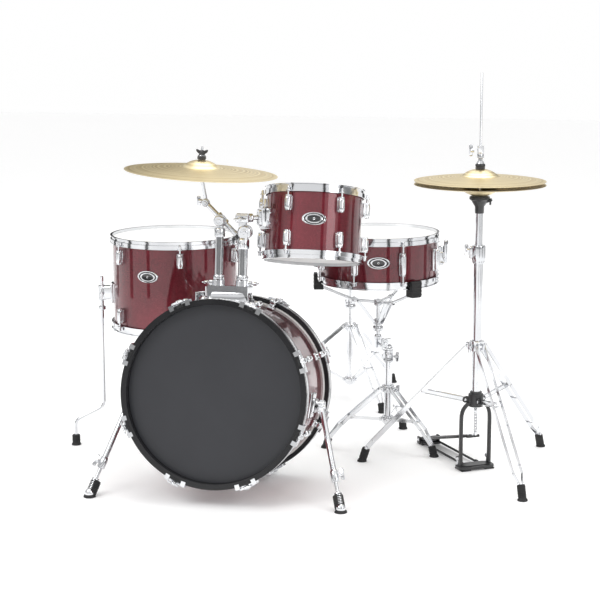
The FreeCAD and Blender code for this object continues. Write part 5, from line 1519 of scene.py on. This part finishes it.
def snareParts():
    drum = drums["snare"]
    place = drumPlace(drum) @ Matrix.Rotation(math.radians(strainer["turn"]), 4, "Z")
    low = -drum["depth"] / 2

    def spot(out, side, height):
        return place @ (Vector((out, side, height)) * mm)

    out = (place.to_3x3() @ alongX).normalized()
    side = (place.to_3x3() @ alongY).normalized()
    wires = Piece("snareWires", chrome)
    coils = 88
    for n in range(strainer["wires"]):
        y = (n - (strainer["wires"] - 1) / 2) * 2.45
        outline = [(0, 0)]
        for k in range(coils):
            height = strainer["span"] * k / coils
            outline += [(0.85, height), (1.15, height + strainer["span"] / coils * 0.5)]
        outline.append((0, strainer["span"]))
        wires.turn(outline, aim(spot(-strainer["span"] / 2, y, low - 1.9), out), 6)
    for sign in (1, -1):
        wires.box((17, 42, 1.6), aim(spot(sign * strainer["span"] / 2, 0, low - 2.2), up, out), 0.5)
        wires.box((16, 20, 0.6), aim(spot(sign * (strainer["span"] / 2 + 13), 0, low - 2.6), up, out), 0.2)
    wires.done("snare")

    body = Piece("snareStrainerShell", chrome, blackRubberFinish)
    radius = drum["radius"]
    body.box((5, 30, 58), aim(spot(radius + 3.6, 0, 2), up, out), 2, 3)
    body.box((18, 22, 34), aim(spot(radius + 13, 0, -2), up, out), 4.5, 4)
    body.box((14, 32, 10), aim(spot(radius + 12.5, 0, -18), up, out), 2.5, 3)
    body.turn([(0, 30), (6.6, 29.6), (7.8, 28.4), (7.8, 15), (6.4, 13), (3, 12)],
              aim(spot(radius + 15, 0, 0), up), 14)
    for height in (24, -21):
        boltHead(body, spot(radius + 5.8, 0, height), out, 3.4, 2.6)
    for y in (-9, 9):
        boltHead(body, spot(radius + 19, y, -18), out, 2.8, 2.4)
    body.box((5, 32, 40), aim(spot(-radius - 3.6, 0, -8), up, out), 2, 3)
    body.box((15, 36, 10), aim(spot(-radius - 12, 0, -18), up, out), 2.5, 3)
    for y in (-9, 9):
        boltHead(body, spot(-radius - 19.2, y, -18), -out, 2.8, 2.4)
    body.done("snare")

    lever = Piece("snareThrowLever", chrome, blackRubberFinish)
    for sign in (1, -1):
        lever.box((9, 2.6, 62), aim(spot(radius + 26, 8.6 * sign, 14), up, out), 1.1, 3)
    lever.box((8, 19, 12), aim(spot(radius + 27, 0, 41), up, out), 2.4, 3)
    lever.box((6, 17, 5), aim(spot(radius + 26.4, 0, 12), up, out), 1.2)
    lever.turn([(0, -12.4), (4.4, -12.4), (5, -11.6), (5, 11.6), (4.4, 12.4), (0, 12.4)],
               aim(spot(radius + 25.3, 0, -6),
                                                                                         side), 24)
    lever.use(1)
    lever.box((4, 15, 9), aim(spot(radius + 30.6, 0, 41), up, out), 1.2)
    lever.done("strainer_lever")


def snareStandJoint():
    base, axis = kit(350, 508), kit(322.4, 486.4)
    sideways = (axis - base).normalized()
    hinge = sideways.cross(up).normalized()
    level = up * (305 * mm)
    joint = (base + axis) / 2 + level
    post = Piece("snareStandRatchet", chrome)
    ratchet(post, joint + hinge * (0.3 * mm), hinge, 11.5, 12, 22)
    post.turn([(8.6, 276), (11.6, 277), (12.6, 279), (12.6, 290), (11, 294), (6, 296), (0, 296.4)],
              Matrix.Translation(base), 32)
    post.done("snare_post")
    basket = Piece("snareBasketFittings", chrome, blackRubberFinish)
    ratchet(basket, joint - hinge * (0.3 * mm), -hinge, 11.5, 12, 22)
    wing(basket, axis + level - hinge * (8 * mm), -hinge, up, 15, 12.5, 1.25)
    stem = Matrix.Translation(axis)
    basket.turn([(6.6, 316), (9.4, 317), (10.2, 319), (10.2, 330), (9, 332), (6.6, 333)], stem, 30,
                closed=True)
    basket.turn([(6.6, 342), (13.6, 343), (15, 344.6), (15.4, 347), (15.4, 353), (14.4, 356), (11.4, 358),
                 (11.2, 376),
                 (10.4, 378), (6.6, 378.4)], stem, 24, closed=True)
    basket.turn([(6.6, 416), (11.6, 416.6), (12.8, 418), (12.8, 432), (11.6, 434.4), (6.6, 435.4)], stem, 34,
                closed=True)
    for angle in (-166, -46, 66):
        out, side = polar(angle, 1) / mm, polar(angle + 90, 1) / mm
        hub = axis + up * (428 * mm)
        for sign in (1, -1):
            start = hub - up * (62 * mm) + out * (11 * mm) + side * (7 * sign * mm)
            railLips(basket, start, start + (out * 47 + up * 64) * mm, side, 8, 1.1)
            rivet(basket, start + side * (1.2 * sign * mm), side * sign, 3, 1.4)
            rivet(basket, start + (out * 47 + up * 64) * mm + side * (1.2 * sign * mm), side * sign, 3.4, 1.6)
        elbow = hub + (out * 70 + up * 6) * mm
        basket.turn([(4.7, -9), (6.4, -8), (6.8, -6), (6.8, 4), (5.6, 6), (4.7, 6.6)], aim(elbow, out), 24)
        hoopLow = drums["snare"]["middle"][2] - drums["snare"]["depth"] / 2 - 9
        hold = axis + out * ((drums["snare"]["radius"] + 15.4) * mm) + up * ((hoopLow + 1.6) * mm)
        basket.use(1)
        for n in range(4):
            basket.box((12.4, 36.6, 3.2), aim(hold + up * ((-16 + 10 * n) * mm), up, out), 1.2)
        heelOf = axis + out * ((drums["snare"]["radius"] + 7) * mm) + up * ((hoopLow - 20) * mm)
        basket.box((28, 30, 5), aim(heelOf, up, out), 2)
        basket.use(0)
    basket.done("snare")


snareParts()
snareStandJoint()
print("snare fittings done")

# light, floor and camera

studio = {"world": 1.0, "key": 60, "fill": 26, "top": 60, "floor": (0.93, 0.93, 0.93)}


def sky():
    # Pale room whose darker bands give the chrome something to mirror
    world = bpy.data.worlds.new("room")
    bpy.context.scene.world = world
    world.use_nodes = True
    tree = world.node_tree
    tree.nodes.clear()
    coords = tree.nodes.new("ShaderNodeTexCoord")
    split = tree.nodes.new("ShaderNodeSeparateXYZ")
    ramp = tree.nodes.new("ShaderNodeValToRGB")
    shade = tree.nodes.new("ShaderNodeBackground")
    out = tree.nodes.new("ShaderNodeOutputWorld")
    rise = tree.nodes.new("ShaderNodeMath")
    rise.operation = "MULTIPLY_ADD"
    rise.inputs[1].default_value = 0.5
    rise.inputs[2].default_value = 0.5
    stops = [(0.0, 0.98), (0.515, 1.0), (0.535, 0.22), (0.575, 0.30), (0.60, 1.0), (0.70, 1.0),
             (0.74, 0.35), (0.80, 1.0)]
    while len(ramp.color_ramp.elements) < len(stops):
        ramp.color_ramp.elements.new(0.5)
    for element, (position, level) in zip(ramp.color_ramp.elements, stops):
        element.position = position
        element.color = (level, level, level, 1)
    tree.links.new(coords.outputs["Generated"], split.inputs[0])
    tree.links.new(split.outputs["Z"], rise.inputs[0])
    tree.links.new(rise.outputs[0], ramp.inputs["Fac"])
    tree.links.new(ramp.outputs["Color"], shade.inputs["Color"])
    shade.inputs["Strength"].default_value = studio["world"]
    tree.links.new(shade.outputs[0], out.inputs["Surface"])


def lamp(name, place, target, size, power):
    light = bpy.data.lights.new(name, "AREA")
    light.shape = "RECTANGLE"
    light.size, light.size_y = size
    light.energy = power
    thing = bpy.data.objects.new(name, light)
    thing.matrix_world = aim(Vector(place), Vector(place) - Vector(target), alongX)
    bpy.context.scene.collection.objects.link(thing)


def floor():
    p = Paint("paleFloor")
    material = p.finish(Base_Color=p.mix(p.noise(3, 3), studio["floor"], (0.95, 0.95, 0.95)), Roughness=0.7,
                        Emission_Color=(1, 1, 1, 1), Emission_Strength=0.12)
    mesh = bpy.data.meshes.new("floor")
    reach = 14
    mesh.from_pydata([(-reach, -reach, 0), (reach, -reach, 0), (reach, reach, 0), (-reach, reach, 0)], [],
                     [(0, 1, 2, 3)])
    mesh.materials.append(material)
    thing = bpy.data.objects.new("floor", mesh)
    bpy.context.scene.collection.objects.link(thing)


cards = {"reach": 3.0, "low": 0.02, "high": 2.3, "spots": ((62, 0.9), (118, 0.9), (200, 0.35), (232, 0.28),
                                                           (300, 0.30),
                                                          (338, 0.35), (20, 0.45), (160, 0.45))}


def darkCards():
    p = Paint("darkCard")
    material = p.finish(Base_Color=p.mix(p.noise(4, 2), (0.012, 0.012, 0.013), (0.03, 0.03, 0.03)),
                        Roughness=0.9)
    for n, (angle, wide) in enumerate(cards["spots"]):
        middleOf = polar(angle, cards["reach"] / mm)
        side = polar(angle + 90, 1) / mm * (wide / 2)
        corners = [middleOf + side * sign + up * height for sign, height in
                   ((-1, cards["low"]), (1, cards["low"]), (1, cards["high"]), (-1, cards["high"]))]
        mesh = bpy.data.meshes.new(f"darkCard{n}")
        mesh.from_pydata([tuple(corner) for corner in corners], [], [(0, 1, 2, 3)])
        mesh.materials.append(material)
        thing = bpy.data.objects.new(f"darkCard{n}", mesh)
        for ray in ("camera", "diffuse", "transmission", "volume_scatter", "shadow"):
            setattr(thing, "visible_" + ray, False)
        bpy.context.scene.collection.objects.link(thing)


sky()
floor()
darkCards()
bpy.context.scene.view_settings.view_transform = "Standard"
lamp("keySoftbox", (-2.2, -3.2, 3.4), (0, 0, 0.5), (2.4, 1.6), studio["key"])
lamp("fillSoftbox", (3.4, -2.4, 2.2), (0, 0, 0.5), (1.4, 2.4), studio["fill"])
lamp("topSoftbox", (0.2, 0.6, 3.6), (0, 0, 0.4), (3.0, 3.0), studio["top"])

cameraData = bpy.data.cameras.new("camera")
cameraData.sensor_width = 36
cameraData.lens = 99.1
camera = bpy.data.objects.new("camera", cameraData)
bpy.context.scene.collection.objects.link(camera)
eye = kit(1049.8, -4146.5, 1271.6)
looking = Vector((-0.19924, 0.96395, -0.17634)).normalized()
camera.matrix_world = Matrix.Translation(eye) @ looking.to_track_quat("-Z", "Y").to_matrix().to_4x4()
bpy.context.scene.camera = camera
print("light and camera ready")
